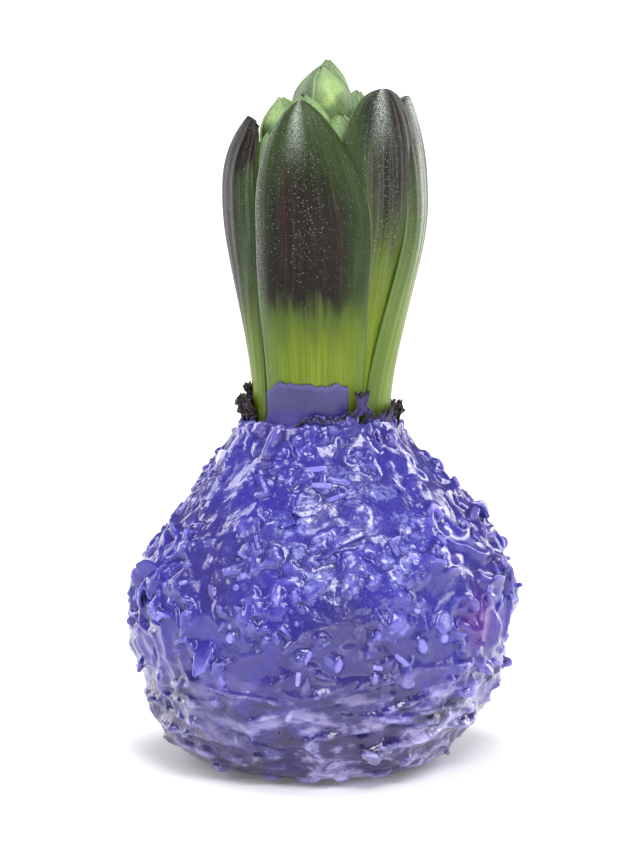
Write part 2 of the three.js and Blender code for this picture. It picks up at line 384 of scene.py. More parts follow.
class StageSettings(bpy.types.PropertyGroup):
    """Floor, lights and camera."""

    elevation: FloatProperty(
        name="Elevation", description="Camera angle above the level", default=math.radians(12),
        subtype="ANGLE",
    )
    lens: FloatProperty(name="Lens", description="Focal length", default=500, unit="CAMERA")
    tall: length_setting("Tall", "Height of the picture at the object", 162.7 * MM)
    centre: length_setting("Centre", "Height that the camera looks at", 64.6 * MM)
    floor: colour_setting("Floor", "Pale floor", (0.9, 0.9, 0.9))


# ---- Wax ----


COARSE_VOXEL = 0.9 * MM
WAX_TRIANGLES = 190000


def closed_coat():
    """The CAD coat, cut at its rim and closed over the bulb, as an even soft surface."""
    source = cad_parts["wax_coat"]
    coat = bpy.data.objects.new("coat", source.data.copy())
    bpy.context.scene.collection.objects.link(coat)
    merge_points(coat, 0.01 * MM)
    bpy.ops.object.mode_set(mode="EDIT")
    bpy.ops.mesh.select_all(action="SELECT")
    rim = RIM_HEIGHT - 0.1 * MM
    bpy.ops.mesh.bisect(plane_co=(0, 0, rim), plane_no=(0, 0, 1), use_fill=True, clear_outer=True)
    bpy.ops.object.mode_set(mode="OBJECT")
    plug_depth = 20 * MM
    bpy.ops.mesh.primitive_cylinder_add(
        radius=NECK_RADIUS + 0.6 * MM, depth=plug_depth, location=(0, 0, BULB_TOP - plug_depth / 2)
    )
    coat = joined([coat, named("plug")], "coat")
    modify(coat, "REMESH", mode="VOXEL", voxel_size=COARSE_VOXEL)
    modify(coat, "SMOOTH", factor=0.5, iterations=6)
    modify(coat, "SUBSURF", levels=1)
    return coat


def swollen(coat, height):
    """Lays slow lumps and sagging folds over the coat, and draws it up round the front of the neck."""
    normals = [vertex.normal.copy() for vertex in coat.data.vertices]
    for vertex, normal in zip(coat.data.vertices, normals):
        here = x, y, z = tuple(vertex.co)
        fade = smoothstep(z, 0.5 * MM, 6 * MM) * (1 - 0.5 * smoothstep(z, 64 * MM, 67 * MM))
        low = 1 - smoothstep(z, 18 * MM, 30 * MM)
        lumps = lump(here, 6.5 * MM) + 0.45 * lump(here, 3 * MM, 9) + 0.2 * lump(here, 1.5 * MM, 5)
        lumps += low * lump((x, y, 1.7 * z), 4 * MM, 11)
        sagging = 2.4 * low * (1 - abs(lump((x, y, 3.2 * z), 14 * MM, 4))) ** 6
        draped = (1 - abs(lump((1.6 * x, 1.6 * y, 0.9 * z), 10 * MM, 7))) ** 7
        draped = 2.3 * smoothstep(abs(x), 15 * MM, 30 * MM) * (1 - low) * draped
        vertex.co += normal * (height * fade * (lumps - 1.2 + sagging + draped))
        drawn_up = (1.3 + 0.6 * lump((x, y, 0), 5 * MM, 8)) * smoothstep(-y, 0, 9 * MM)
        vertex.co.z += drawn_up * MM * smoothstep(z, 57 * MM, 66 * MM)


def flat_chip(name, outline, bevel):
    """A flat chip a unit thick over an outline of points, with rounded edges."""
    bpy.ops.mesh.primitive_circle_add(vertices=len(outline), radius=1, fill_type="NGON")
    chip = named(name)
    for vertex, (x, y) in zip(chip.data.vertices, outline):
        vertex.co = (x, y, -0.5)
    bpy.ops.object.mode_set(mode="EDIT")
    bpy.ops.mesh.select_all(action="SELECT")
    bpy.ops.mesh.extrude_region_move(TRANSFORM_OT_translate={"value": (0, 0, 1)})
    bpy.ops.mesh.select_all(action="SELECT")
    bpy.ops.mesh.normals_make_consistent(inside=False)
    bpy.ops.object.mode_set(mode="OBJECT")
    modify(chip, "BEVEL", width=bevel, segments=2)
    return chip


def chip_shapes():
    """The chips, one of each and a unit long, broad and thick: rods, curls, beads, slabs and flakes."""
    shapes = {}
    for name, bow in (("rod", 0), ("curl", 0.9)):
        bpy.ops.mesh.primitive_uv_sphere_add(segments=10, ring_count=8, radius=0.5)
        chip = shapes[name] = named(name)
        for vertex in chip.data.vertices:
            x, y, z = vertex.co
            across = min(1, math.hypot(x, y) / 0.5) if abs(z) < 0.49 else 0
            end = math.copysign(abs(z / 0.5) ** 0.55, z) * 0.5
            fuller = across**-0.6 if across > 0.2 else 1
            vertex.co = (end, x * fuller - bow * (end**2 - 0.08), y * fuller)
    bpy.ops.mesh.primitive_ico_sphere_add(subdivisions=2, radius=0.5)
    shapes["bead"] = named("bead")
    slab = [(-0.5, -0.4), (0.45, -0.5), (0.5, 0.35), (0.1, 0.5), (-0.45, 0.45)]
    shapes["slab"] = flat_chip("slab", slab, 0.14)
    shapes["triangle"] = flat_chip("triangle", [(-0.5, -0.1), (0.1, -0.5), (0.5, 0.45), (0.0, 0.5)], 0.12)
    for corners in (4, 5, 6):
        outline = []
        for i in range(corners):
            turn = math.tau * i / corners
            wide, deep = (0.5 + 0.2 * lump((turn, 0, 0), 0.9, seed) for seed in (corners, corners + 3))
            outline.append((wide * math.cos(turn), deep * math.sin(turn)))
        shapes[f"flake_{corners}"] = flat_chip(f"flake_{corners}", outline, 0.1)
    return shapes


# Chips of each kind: share of all, length, breadth and thickness (least and most, in mm), and how far the
# middle of the chip lies above the wax, as a share of its thickness.
MELTED_CHIPS = [
    ("rod", 0.3, (2.0, 4.2), (1.0, 1.5), None, 0.05),
    ("curl", 0.12, (2.4, 4.4), (1.0, 1.4), None, 0.05),
    ("bead", 0.16, (1.3, 2.6), (1.1, 2.0), (1.0, 1.7), 0.0),
    ("bead", 0.24, (3.0, 6.0), (2.4, 4.2), (1.5, 2.2), -0.12),
    ("flake_4", 0.08, (2.8, 5.6), (1.8, 3.2), (0.6, 1.0), 0.2),
    ("flake_5", 0.06, (3.0, 5.6), (2.2, 3.8), (0.6, 1.0), 0.2),
    ("flake_6", 0.04, (4.5, 8.5), (3.2, 5.0), (0.7, 1.0), 0.15),
]
CRISP_CHIPS = [
    ("rod", 0.5, (1.6, 3.2), (0.8, 1.15), None, -0.12),
    ("curl", 0.1, (1.9, 3.2), (0.8, 1.1), None, -0.12),
    ("bead", 0.4, (0.9, 1.9), (0.8, 1.6), (0.7, 1.3), -0.1),
]

# Single chips: shape, azimuth and height, length, breadth, thickness and turn (mm, degrees), and whiteness.
PLACED_CHIPS = [
    ("slab", 11, 48.5, 7.4, 2.0, 1.0, 28, 0.5),
    ("triangle", -21, 49, 5.0, 4.6, 0.9, 15, 0.4),
    ("flake_6", -6, 53.5, 6.8, 3.6, 0.7, 12, 0.15),
    ("flake_5", -17, 51.5, 6.2, 4.4, 0.6, -10, 0.05),
    ("flake_4", 2, 46, 5.4, 2.8, 0.7, 70, 0.25),
    ("bead", 25, 33.5, 5.2, 3.8, 2.8, 40, 0.6),
    ("flake_4", 31, 41, 4.6, 2.4, 0.8, 60, 0.4),
    ("bead", -3, 39.5, 5.4, 3.0, 1.8, 80, 0.6),
    ("bead", -28, 30.5, 3.0, 2.4, 2.2, 80, 0.85),
    ("rod", -4, 27.5, 3.4, 1.2, 1.2, 58, 0.8),
    ("rod", -6.5, 23.6, 3.0, 1.1, 1.1, 84, 1.0),
    ("bead", 5.5, 26, 3.8, 2.1, 2.4, 70, 0.8),
    ("bead", 17, 23.2, 2.6, 2.0, 2.2, 60, 0.8),
    ("bead", 18, 31.2, 2.8, 2.0, 2.2, 90, 0.7),
    ("rod", 26.5, 26, 3.8, 1.3, 1.3, -42, 0.8),
    ("bead", 28, 21.5, 3.8, 2.4, 1.6, -12, 0.6),
    ("bead", 33, 28.5, 3.8, 2.6, 2.6, 110, 0.75),
    ("bead", 41, 29.5, 3.0, 2.4, 2.4, 70, 0.85),
    ("rod", -15, 58.5, 4.4, 1.5, 1.4, 50, 0.4),
    ("slab", -31, 57, 5.2, 1.7, 1.1, -50, 0.45),
    ("rod", -2, 60.2, 4.4, 1.3, 1.2, 10, 0.8),
    ("rod", 1, 57.6, 4.2, 1.3, 1.2, 2, 0.8),
    ("rod", 10, 58.2, 4.6, 1.4, 1.2, -14, 0.7),
    ("rod", 8, 55.4, 3.8, 1.2, 1.2, 22, 0.7),
    ("rod", -25, 47.5, 3.0, 1.1, 1.1, -62, 0.7),
    ("rod", -30, 45, 2.6, 1.1, 1.1, -30, 0.7),
    ("rod", 27, 47, 3.8, 1.2, 1.2, -64, 0.6),
    ("bead", 55, 64.3, 3.4, 3.0, 2.4, 30, 0.3),
    ("bead", -33, 65.4, 6.0, 3.0, 2.8, 78, 0.1),
    ("bead", -36, 62.6, 3.2, 2.8, 2.4, 60, 0.1),
    ("bead", -17, 65.0, 2.2, 1.8, 1.6, 60, 0.2),
    ("bead", -8, 64.2, 1.8, 1.5, 1.3, 10, 0.4),
    ("bead", 4, 65.6, 1.7, 1.5, 1.2, 30, 0.5),
    ("bead", 15, 64.8, 2.0, 1.6, 1.3, 50, 0.4),
    ("bead", 24, 62.6, 2.4, 1.8, 1.4, 0, 0.3),
    ("bead", 30, 60.4, 2.0, 1.6, 1.4, 70, 0.4),
    ("flake_5", -78, 59.5, 3.8, 2.6, 1.8, 60, 2.0),
    ("bead", -44, 2.6, 4.6, 2.4, 2.0, 5, 0.3),
    ("bead", -22, 1.8, 4.2, 2.4, 2.2, -8, 0.2),
    ("bead", -5, 1.6, 5.0, 2.2, 2.0, 6, 0.3),
    ("bead", 9, 2.0, 3.4, 2.4, 2.2, -12, 0.4),
    ("bead", 27, 2.2, 4.8, 2.2, 2.0, 10, 0.2),
    ("bead", 46, 3.4, 4.0, 2.4, 2.2, 0, 0.3),
    ("flake_5", 70, 46, 5.0, 3.2, 0.8, 20, 0.3),
    ("flake_6", -65, 40, 6.0, 4.0, 0.8, -20, 0.3),
    ("flake_6", 130, 44, 6.6, 4.0, 0.8, 20, 0.3),
    ("slab", 165, 50, 6.4, 2.0, 1.0, 30, 0.5),
    ("flake_5", 205, 40, 5.4, 4.0, 0.8, 0, 0.3),
    ("triangle", 240, 46, 5.0, 4.4, 0.9, 50, 0.4),
]


def laid(where, outwards, turn, tip, roll, size, raised):
    """The matrix that lays a chip of this size on the wax, turned in its plane and tipped a little."""
    level = Vector((-outwards.y, outwards.x, 0)).normalized()
    stand = Matrix((level, outwards.cross(level), outwards)).transposed().to_4x4()
    lay = Matrix.Rotation(turn, 4, "Z") @ Euler((tip, roll, 0)).to_matrix().to_4x4()
    centre = where + outwards * raised * size[2]
    return Matrix.Translation(centre) @ stand @ lay @ Matrix.Diagonal((*size, 1))


def chip_matrix(draw, kind, where, outwards, size):
    """Place, turn and size of one chip that lies on the wax at a point."""
    _, _, long, broad, thick, raised = kind
    length = draw.uniform(*long) * size * MM
    breadth = draw.uniform(*broad) * size * MM
    thickness = breadth if thick is None else draw.uniform(*thick) * size * MM
    tip, roll = (draw.gauss(0, 0.35 * MM / length) for _ in range(2))
    turn = draw.uniform(0, math.tau)
    return laid(where, outwards, turn, tip, roll, (length, breadth, thickness), raised)


def surface_of(piece):
    """A search tree of a piece's surface."""
    places = [vertex.co for vertex in piece.data.vertices]
    return BVHTree.FromPolygons(places, [face.vertices for face in piece.data.polygons])


def heaped(name, chips, tones, shapes):
    """Joins chips into one object, lists their tones by face and by point, and clears the models."""
    by_face = [tone for chip, tone in zip(chips, tones) for _ in chip.data.polygons]
    by_point = [tone for chip, tone in zip(chips, tones) for _ in chip.data.vertices]
    heap = joined(chips, name)
    pick(*shapes.values())
    bpy.ops.object.delete()
    return heap, by_face, by_point


# Scattered chips keep this far above the floor, and reach this far past the rim.
BARE_FOOT = 1.2 * MM


def scattered_chips(name, kinds, ground, count, seed):
    """Chips laid on the wax by a seeded draw, in drifts and smaller near the neck, and their tones."""
    draw = random.Random(seed)
    shapes = chip_shapes()
    faces = ground.data.polygons
    chips, heights = [], []
    for face in draw.choices(faces, [face.area for face in faces], k=20 * count):
        where, outwards = face.center.copy(), face.normal.copy()
        if not BARE_FOOT < where.z < RIM_HEIGHT + BARE_FOOT:
            continue
        front = max(0, -outwards.y) * smoothstep(where.z, 18 * MM, 34 * MM)
        drift = 0.05 + 1.7 * lump(where, 8 * MM, 3) + 0.45 * front
        drift += 0.4 * smoothstep(where.z, 56 * MM, 62 * MM)
        in_neck = math.hypot(where.x, where.y) < NECK_RADIUS + 0.2 * MM
        if in_neck or draw.random() > max(0.025, drift * smoothstep(where.z, 13 * MM, 30 * MM)):
            continue
        kind = draw.choices(kinds, [kind[1] for kind in kinds])[0]
        size = 1 - 0.38 * smoothstep(where.z, 54 * MM, 62 * MM)
        chips.append(clone(shapes[kind[0]], chip_matrix(draw, kind, where, outwards, size)))
        heights.append(where.z)
        if len(chips) == count:
            break
    tones = [draw.random() * lerp(0.35, 1, smoothstep(height, 8 * MM, 20 * MM)) for height in heights]
    return heaped(name, chips, tones, shapes)


def placed_chips(ground, melted):
    """The single chips that melted into the wax, which are the beads, or the ones that kept their edges."""
    tree = surface_of(ground)
    shapes = chip_shapes()
    chips, tones = [], []
    for shape, azimuth, height, length, breadth, thickness, turn, white in PLACED_CHIPS:
        if (shape == "bead") != melted:
            continue
        out = around(math.radians(azimuth))
        start = out * 60 * MM + Vector((0, 0, height * MM))
        where, outwards, _, _ = tree.ray_cast(start, -out)
        size = Vector((length, breadth, thickness)) * MM
        chips.append(clone(shapes[shape], laid(where, outwards, math.radians(turn), 0, 0, size, 0.0)))
        tones.append(white)
    return heaped("placed", chips, tones, shapes)


# A slit: its azimuth in degrees, and its height, half breadth, half length, depth and raised rim in mm.
PIN_HOLE = (42, 64.9, 0.4, 0.9, 3.2, 0.35)


def pin_hole(body, azimuth, height, broad, long, deep, raised):
    """Sinks a slit with a raised rim into the wax."""
    out = around(math.radians(azimuth))
    aside = Vector((-out.y, out.x, 0))
    for vertex in body.data.vertices:
        across, up = vertex.co.dot(aside) / (broad * MM), (vertex.co.z - height * MM) / (long * MM)
        away = math.hypot(across, up)
        if away < 2.5 and vertex.co.dot(out) > 0:
            rim = raised * math.exp(-(((away - 1.6) / 0.4) ** 2))
            vertex.co -= out * (deep * (1 - smoothstep(away, 0.5, 1.3)) - rim) * MM


def coat_wall(coat):
    """A function that gives the coat's radius at an azimuth and a height, a little inside its surface."""
    tree = surface_of(coat)
    far = 0.2

    def wall(azimuth, height):
        outwards = around(azimuth)
        hit = tree.ray_cast(outwards * far + Vector((0, 0, height)), -outwards)[0]
        return math.hypot(hit.x, hit.y) - 0.6 * MM

    return wall


# Soft rolls low on the coat: the azimuths where they start and end, in degrees, height, thickness and sag.
SHELF_ROLLS = [
    (-80, -8, 7 * MM, 1.1 * MM, 1.6 * MM),
    (5, 74, 14 * MM, 1.2 * MM, 1.8 * MM),
    (100, 180, 9 * MM, 1.1 * MM, 1.8 * MM),
    (190, 270, 12 * MM, 1.1 * MM, 1.6 * MM),
]


def shelf_roll(wall_at, start, end, height, thickness, sag):
    """A roll of soft wax that slumped to a shelf low on the coat."""
    steps = 40
    curve = bpy.data.curves.new("roll", "CURVE")
    curve.dimensions = "3D"
    curve.bevel_depth = 1
    curve.bevel_resolution = 3
    curve.use_fill_caps = True
    spline = curve.splines.new("POLY")
    spline.points.add(steps)
    for i, point in enumerate(spline.points):
        share = i / steps
        azimuth = math.radians(lerp(start, end, share))
        high = height + sag * math.sin(3 * azimuth + height / MM) + 0.8 * MM * lump((azimuth, 0, 0), 0.5, 2)
        point.co = (*around(azimuth, wall_at(azimuth, high), high), 1)
        full = math.sin(math.pi * share) ** 0.5 * (1 + 0.5 * lump((azimuth, 1, 0), 0.2))
        point.radius = thickness * (0.25 + full)
    roll = bpy.data.objects.new("roll", curve)
    bpy.context.scene.collection.objects.link(roll)
    pick(roll)
    bpy.ops.object.convert(target="MESH")
    return bpy.context.active_object


def hollowness(mesh):
    """How far each point lies in a hollow (over 0) or on an edge (under 0), about from -1 to 1."""
    near = [Vector() for _ in mesh.vertices]
    count = [0] * len(mesh.vertices)
    places = [vertex.co.copy() for vertex in mesh.vertices]
    normals = [vertex.normal.copy() for vertex in mesh.vertices]
    for edge in mesh.edges:
        a, b = edge.vertices
        step = (places[b] - places[a]).normalized()
        near[a] += step
        near[b] -= step
        count[a] += 1
        count[b] += 1
    bends = [step.dot(normal) / max(1, many) for step, normal, many in zip(near, normals, count)]
    for _ in range(4):
        total = list(bends)
        for edge in mesh.edges:
            a, b = edge.vertices
            total[a] += bends[b]
            total[b] += bends[a]
        bends = [value / (many + 1) for value, many in zip(total, count)]
    return bends


def tone_wax(body, coat, chips, tones):
    """Stores for each point its height above the coat, its chip's tone and its hollowness."""
    ground, pile = surface_of(coat), surface_of(chips)

    def tone(place, hollow):
        near, outwards, _, _ = ground.find_nearest(place)
        relief = smoothstep((place - near).dot(outwards), 0.05 * MM, 1.0 * MM)
        _, _, face, away = pile.find_nearest(place)
        on_chip = (1 - smoothstep(away, 0.05 * MM, 0.3 * MM)) * relief
        return relief, on_chip * tones[face], 0.5 + 2.2 * hollow

    hollows = hollowness(body.data)
    painted(body, "wax", [tone(vertex.co, hollow) for vertex, hollow in zip(body.data.vertices, hollows)])


def wax_finish(wax):
    """Glossy dyed wax: deep blue violet, paler on the chips, greyer round the foot, with a pink stain,
    painted highlights and painted shade.
    """
    finish = Finish(
        "dyed_wax", wax.deep, Subsurface_Weight=0.15, Subsurface_Scale=1.0 * MM,
        Subsurface_Radius=(0.6, 0.6, 1.0), Coat_Weight=0.65, Coat_Roughness=0.19, IOR=1.45,
    )
    where = finish.place()
    high = finish.height(where)
    relief, chalk, hollow = finish.attribute("wax")
    cloud = finish.noise(where, 80, 3)
    mottle = finish.noise(where, 420, 4, 0.65)

    # Plain wax, then the chips, a painted highlight on the palest chips and their edges, and painted shade
    # in the crevices between them.
    finish.tint(cloud.between(0.38, 0.64), (0.042, 0.033, 0.19))
    finish.tint(mottle.between(0.45, 0.7) * 0.35, (0.075, 0.068, 0.36))
    finish.tint((high + cloud * -30).between(8, -10), wax.grey)
    pale = finish.maths("ADD", relief * 0.16, chalk.between(0.35, 1.1) * 0.75, clamp=True)
    finish.tint(pale, wax.pale)
    # Painted highlight on the palest chips.
    finish.tint(chalk.between(0.55, 1.0) * 0.5, (0.4, 0.37, 0.8))
    # Painted highlight along the raised edges.
    finish.tint(hollow.between(0.44, 0.3) * 0.3, (0.24, 0.22, 0.56))
    # Painted shade in the crevices.
    finish.tint(hollow.between(0.52, 0.72) * 0.6, (0.02, 0.015, 0.1))

    # Painted sheen over the front, in patches and in glinting specks.
    front_sheen = finish.away(where, (4, -26, 46)).between(30 * MM, 6 * MM)
    sheen_patches = finish.noise(where, 170, 5, 0.7).between(0.52, 0.62) * front_sheen
    sheen_patches = sheen_patches * finish.noise(where, 900, 3).between(0.36, 0.6)
    finish.tint(sheen_patches * 0.6, (0.33, 0.37, 0.7))
    # Painted glints in fine specks, strongest over the front.
    glint_specks = finish.noise(where, 3200, 2).between(0.52, 0.7) * (front_sheen * 0.16 + 0.03)
    finish.tint(glint_specks, (0.3, 0.36, 0.85))

    # Painted sheen and painted gloom (shade) by turns low on the coat, a spot of painted shade in front,
    # and painted highlights on pale ridges.
    lower = high.between(27, 15)
    sags = finish.noise(finish.place((1, 1, 2)), 120, 4, 0.6)
    glow = finish.away(where, (14, -30, 9)).between(34 * MM, 14 * MM)
    # Painted sheen, strongest to the right of the front.
    finish.tint(sags.between(0.48, 0.64) * lower * (glow * 0.45 + 0.22), (0.52, 0.48, 0.8))
    # Painted gloom: patches of shade low on the coat.
    finish.tint(sags.between(0.5, 0.36) * lower * 0.8, (0.02, 0.013, 0.06))
    # A spot of painted shade in front, left out where the chips are.
    shade_spot = finish.away(where, (3, -35, 25)).between(18 * MM, 8 * MM)
    shade_spot = finish.maths("SUBTRACT", shade_spot, chalk, clamp=True)
    finish.tint(shade_spot * 0.5, (0.02, 0.013, 0.09))
    # Painted highlights along the low ridges.
    ridge_highlights = hollow.between(0.46, 0.32) * mottle.between(0.42, 0.62) * lower
    finish.tint(ridge_highlights * 0.34, (0.46, 0.44, 0.68))

    # The one white chip, and the stain.
    finish.tint(chalk.between(1.3, 1.8), (0.52, 0.52, 0.7))
    stain = finish.away(where, (29.5, -19, 31)) + mottle * (7 * MM)
    finish.tint(stain.between(12 * MM, 6 * MM) * 0.4, wax.stain)

    uneven = finish.noise(where, 150, 2).ramp(0.15, 0.85, 0.38, 0.62) + lower * 0.6
    ripple = finish.bump(finish.noise(where, 700, 2), uneven, 0.27 * MM)
    fine = finish.bump(finish.noise(where, 2600, 2), 0.5, 0.05 * MM, ripple)
    return finish.done(Roughness=mottle.ramp(0.14, 0.34), Normal=fine, Coat_Normal=ripple)


class HYACINTH_OT_wax(bpy.types.Operator):
    """Model the wax coat: the CAD coat's form with rods, flakes and beads melted into it"""

    bl_idname = "hyacinth.wax"
    bl_label = "Wax coat"

    def execute(self, context):
        wax = context.scene.hyacinth_wax
        coat = closed_coat()
        swollen(coat, wax.swell)
        wall = coat_wall(coat)
        scattered, tones, _ = scattered_chips("scattered", MELTED_CHIPS, coat, wax.melted, wax.seed)
        beads, bead_tones, _ = placed_chips(coat, melted=True)
        chips = joined([scattered, beads], "chips")
        tones += bead_tones
        rolls = [shelf_roll(wall, *roll) for roll in SHELF_ROLLS]
        body = joined([clone(coat, Matrix()), clone(chips, Matrix()), *rolls], "wax_body")
        modify(body, "REMESH", mode="VOXEL", voxel_size=wax.voxel)
        modify(body, "SMOOTH", factor=0.5, iterations=4)
        pin_hole(body, *PIN_HOLE)
        faces = sum(len(face.vertices) - 2 for face in body.data.polygons)
        modify(body, "DECIMATE", ratio=min(1, WAX_TRIANGLES / faces))
        for vertex in body.data.vertices:
            vertex.co.z = max(0, vertex.co.z)
        tone_wax(body, coat, chips, tones)
        pick(coat, chips)
        bpy.ops.object.delete()
        smooth_shaded(body)
        finished(body, wax_finish(wax), ["wax_coat"])
        return {"FINISHED"}


class HYACINTH_OT_chips(bpy.types.Operator):
    """Lay small crisp rods, beads and flakes on the wax coat, half sunk in it"""

    bl_idname = "hyacinth.chips"
    bl_label = "Crisp wax chips"

    def execute(self, context):
        wax = context.scene.hyacinth_wax
        body = context.scene.objects["wax_body"]
        small, _, tones = scattered_chips("wax_chips", CRISP_CHIPS, body, wax.crisp, wax.seed + 1)
        single, _, whites = placed_chips(body, melted=False)
        chips = joined([small, single], "wax_chips")
        painted(chips, "wax", [(0.5, tone, 0.45) for tone in [0.9 * tone for tone in tones] + whites])
        smooth_shaded(chips, math.radians(40))
        finished(chips, body.data.materials[0], ["wax_coat"])
        return {"FINISHED"}


# ---- Leaves ----

# In mm and degrees.
# tip: the height of the tip. belly, narrow: shares of the length where the blade is fullest and where it
# starts to narrow. blunt: least width of the tip, as a share. azimuth, radius: the midrib's, at neck, belly
# and tip. width, bend: half the width and the radius of the curl, at neck and belly. twist: at the tip.
# point: how fast it narrows. thick: thickness at the midrib.
LEAVES = {
    "leaf_front": dict(
        tip=130.5, belly=0.64, narrow=0.64, blunt=0.0, azimuth=(-6, -5.5, -15.5),
        radius=(12.6, 18.4, 13.8), width=(11.2, 12.9), bend=(12.6, 17.5), twist=0, point=0.62, thick=2.4,
    ),
    "leaf_left": dict(
        tip=125, belly=0.78, narrow=0.6, blunt=0.32, azimuth=(-97, -86, -84), radius=(12.6, 18.3, 13.6),
        width=(8.2, 12.4), bend=(12.6, 11), twist=0, point=0.34, thick=2.2,
    ),
    "leaf_inner": dict(
        tip=132, belly=0.76, narrow=0.76, blunt=0.0, azimuth=(46, 50, 49), radius=(12, 17.4, 15.6),
        width=(9.4, 10.4), bend=(17, 17), twist=13, point=0.45, thick=1.7,
    ),
    "leaf_right": dict(
        tip=129, belly=0.7, narrow=0.7, blunt=0.34, azimuth=(83, 90, 83), radius=(13.4, 20.2, 16.8),
        width=(9.4, 9.2), bend=(12.6, 12), twist=0, point=0.25, thick=2.2,
    ),
    "leaf_back": dict(
        tip=122, belly=0.68, narrow=0.68, blunt=0.0, azimuth=(178, 180, 176), radius=(12.6, 17.4, 14),
        width=(9, 10.4), bend=(12.6, 14), twist=0, point=0.6, thick=2.2,
    ),
}
# Share of a leaf's length at which it leaves the neck of the bulb.
LEAF_NECK = 0.06

# Places are shares of the leaf's length or breadth.
# start, end: where along it the yellow green turns dark. dark: how dark it gets. middle, spread: where the
# dark lies across it. tip: where the dark ends. hood: how far it widens near the tip. bloom: pale bloom
# along one rim. gloss: pale gloss, a painted highlight.
LEAF_SHADES = {
    "leaf_front": dict(
        start=0.385, end=0.465, dark=1.0, middle=0.44, spread=0.37, bloom=0.5, tip=(1.04, 0.72), hood=0.0,
        gloss=0.0,
    ),
    "leaf_left": dict(
        start=0.3, end=0.55, dark=1.0, middle=0.36, spread=0.4, bloom=0.06, tip=(1.6, 1.5), hood=0.4,
        gloss=0.1,
    ),
    "leaf_inner": dict(
        start=0.46, end=0.76, dark=0.95, middle=0.62, spread=0.31, bloom=0.1, tip=(1.6, 1.5), hood=0.14,
        gloss=0.12,
    ),
    "leaf_right": dict(
        start=0.44, end=0.9, dark=0.55, middle=0.4, spread=0.4, bloom=0.12, tip=(1.6, 1.5), hood=0.15,
        gloss=1.0,
    ),
    "leaf_back": dict(
        start=0.38, end=0.5, dark=0.95, middle=0.5, spread=0.34, bloom=0.3, tip=(1.3, 1.1), hood=0.2,
        gloss=0.3,
    ),
}


def along_leaf(leaf, share, values, bow=2.0):
    """Eases a value from the neck to the belly, and on from the belly to the tip."""
    neck, belly, tip = values if len(values) == 3 else (*values, values[-1])
    if share < leaf["belly"]:
        return lerp(neck, belly, smoothstep(share, LEAF_NECK, leaf["belly"]))
    return lerp(belly, tip, ((share - leaf["belly"]) / (1 - leaf["belly"])) ** bow)


def midrib(leaf, share):
    azimuth = math.radians(along_leaf(leaf, share, leaf["azimuth"], 1.4))
    radius = along_leaf(leaf, share, leaf["radius"], 2.4)
    height = lerp(LEAF_FOOT / MM, leaf["tip"], share)
    return around(azimuth, radius, height)


def leaf_point(leaf, share, across, depth=0.0):
    """A point of a leaf, in mm: a share from foot to tip, across from -1 to 1, and a depth in the blade."""
    past = max(0.0, (share - leaf["narrow"]) / (1 - leaf["narrow"]))
    taper = max(leaf["blunt"], max(0.0, 1 - past**2) ** leaf["point"])
    width = along_leaf(leaf, share, leaf["width"]) * taper
    bend = along_leaf(leaf, share, leaf["bend"]) * max(taper, 0.05) ** 0.8
    step = 1e-3
    up = (midrib(leaf, min(1, share + step)) - midrib(leaf, max(0, share - step))).normalized()
    twist = along_leaf(leaf, share, (0, leaf["twist"]))
    azimuth = math.radians(along_leaf(leaf, share, leaf["azimuth"], 1.4) - twist)
    sideways = Vector((math.cos(azimuth), math.sin(azimuth), 0))
    outwards = sideways.cross(up).normalized()
    turn = across * width / bend
    facing = outwards * math.cos(turn) + sideways * math.sin(turn)
    return midrib(leaf, share) - outwards * bend + facing * (bend - depth)


def leaf_blade(name, leaves):
    """One fleshy blade with parallel ribs, thin margins and a hooded tip."""
    leaf = LEAVES[name]

    def place(across, share):
        side = 2 * across - 1
        ribs = math.sin(math.pi * leaves.ribs * across) * (1 - smoothstep(share, 0.9, 1)) * (1 - side**8)
        keel = 0.3 * math.exp(-((side / 0.16) ** 2)) * smoothstep(share, 0.2, 0.9)
        open_share = (1 - min(1, side**2)) ** 0.25
        depth = leaf["thick"] * (1 - open_share) / 2
        point = leaf_point(leaf, share, side, depth - ribs * leaves.rib_height / MM - keel) * MM
        sway = 0.25 * MM * lump((0, 0, point.z), 16 * MM, len(name)) * smoothstep(share, 0.1, 0.5)
        return point + Vector((sway, 0, 0))

    blade = sheet(name + "_blade", 68, 90, place, crowd=1.35)
    merge_points(blade, 0.02 * MM, face_out=False)
    thin = 1 - 1.5 * leaf["blunt"]

    def fleshy(across, along):
        return max(0.12, (1 - min(1, (2 * across - 1) ** 2)) ** 0.25 * (1 - thin * along**8) ** 0.5)

    group = thickness_group(blade, fleshy)
    modify(blade, "SOLIDIFY", thickness=leaf["thick"] * MM, offset=-1, vertex_group=group)
    merge_points(blade)
    modify(blade, "SMOOTH", factor=0.4, iterations=1)
    return blade


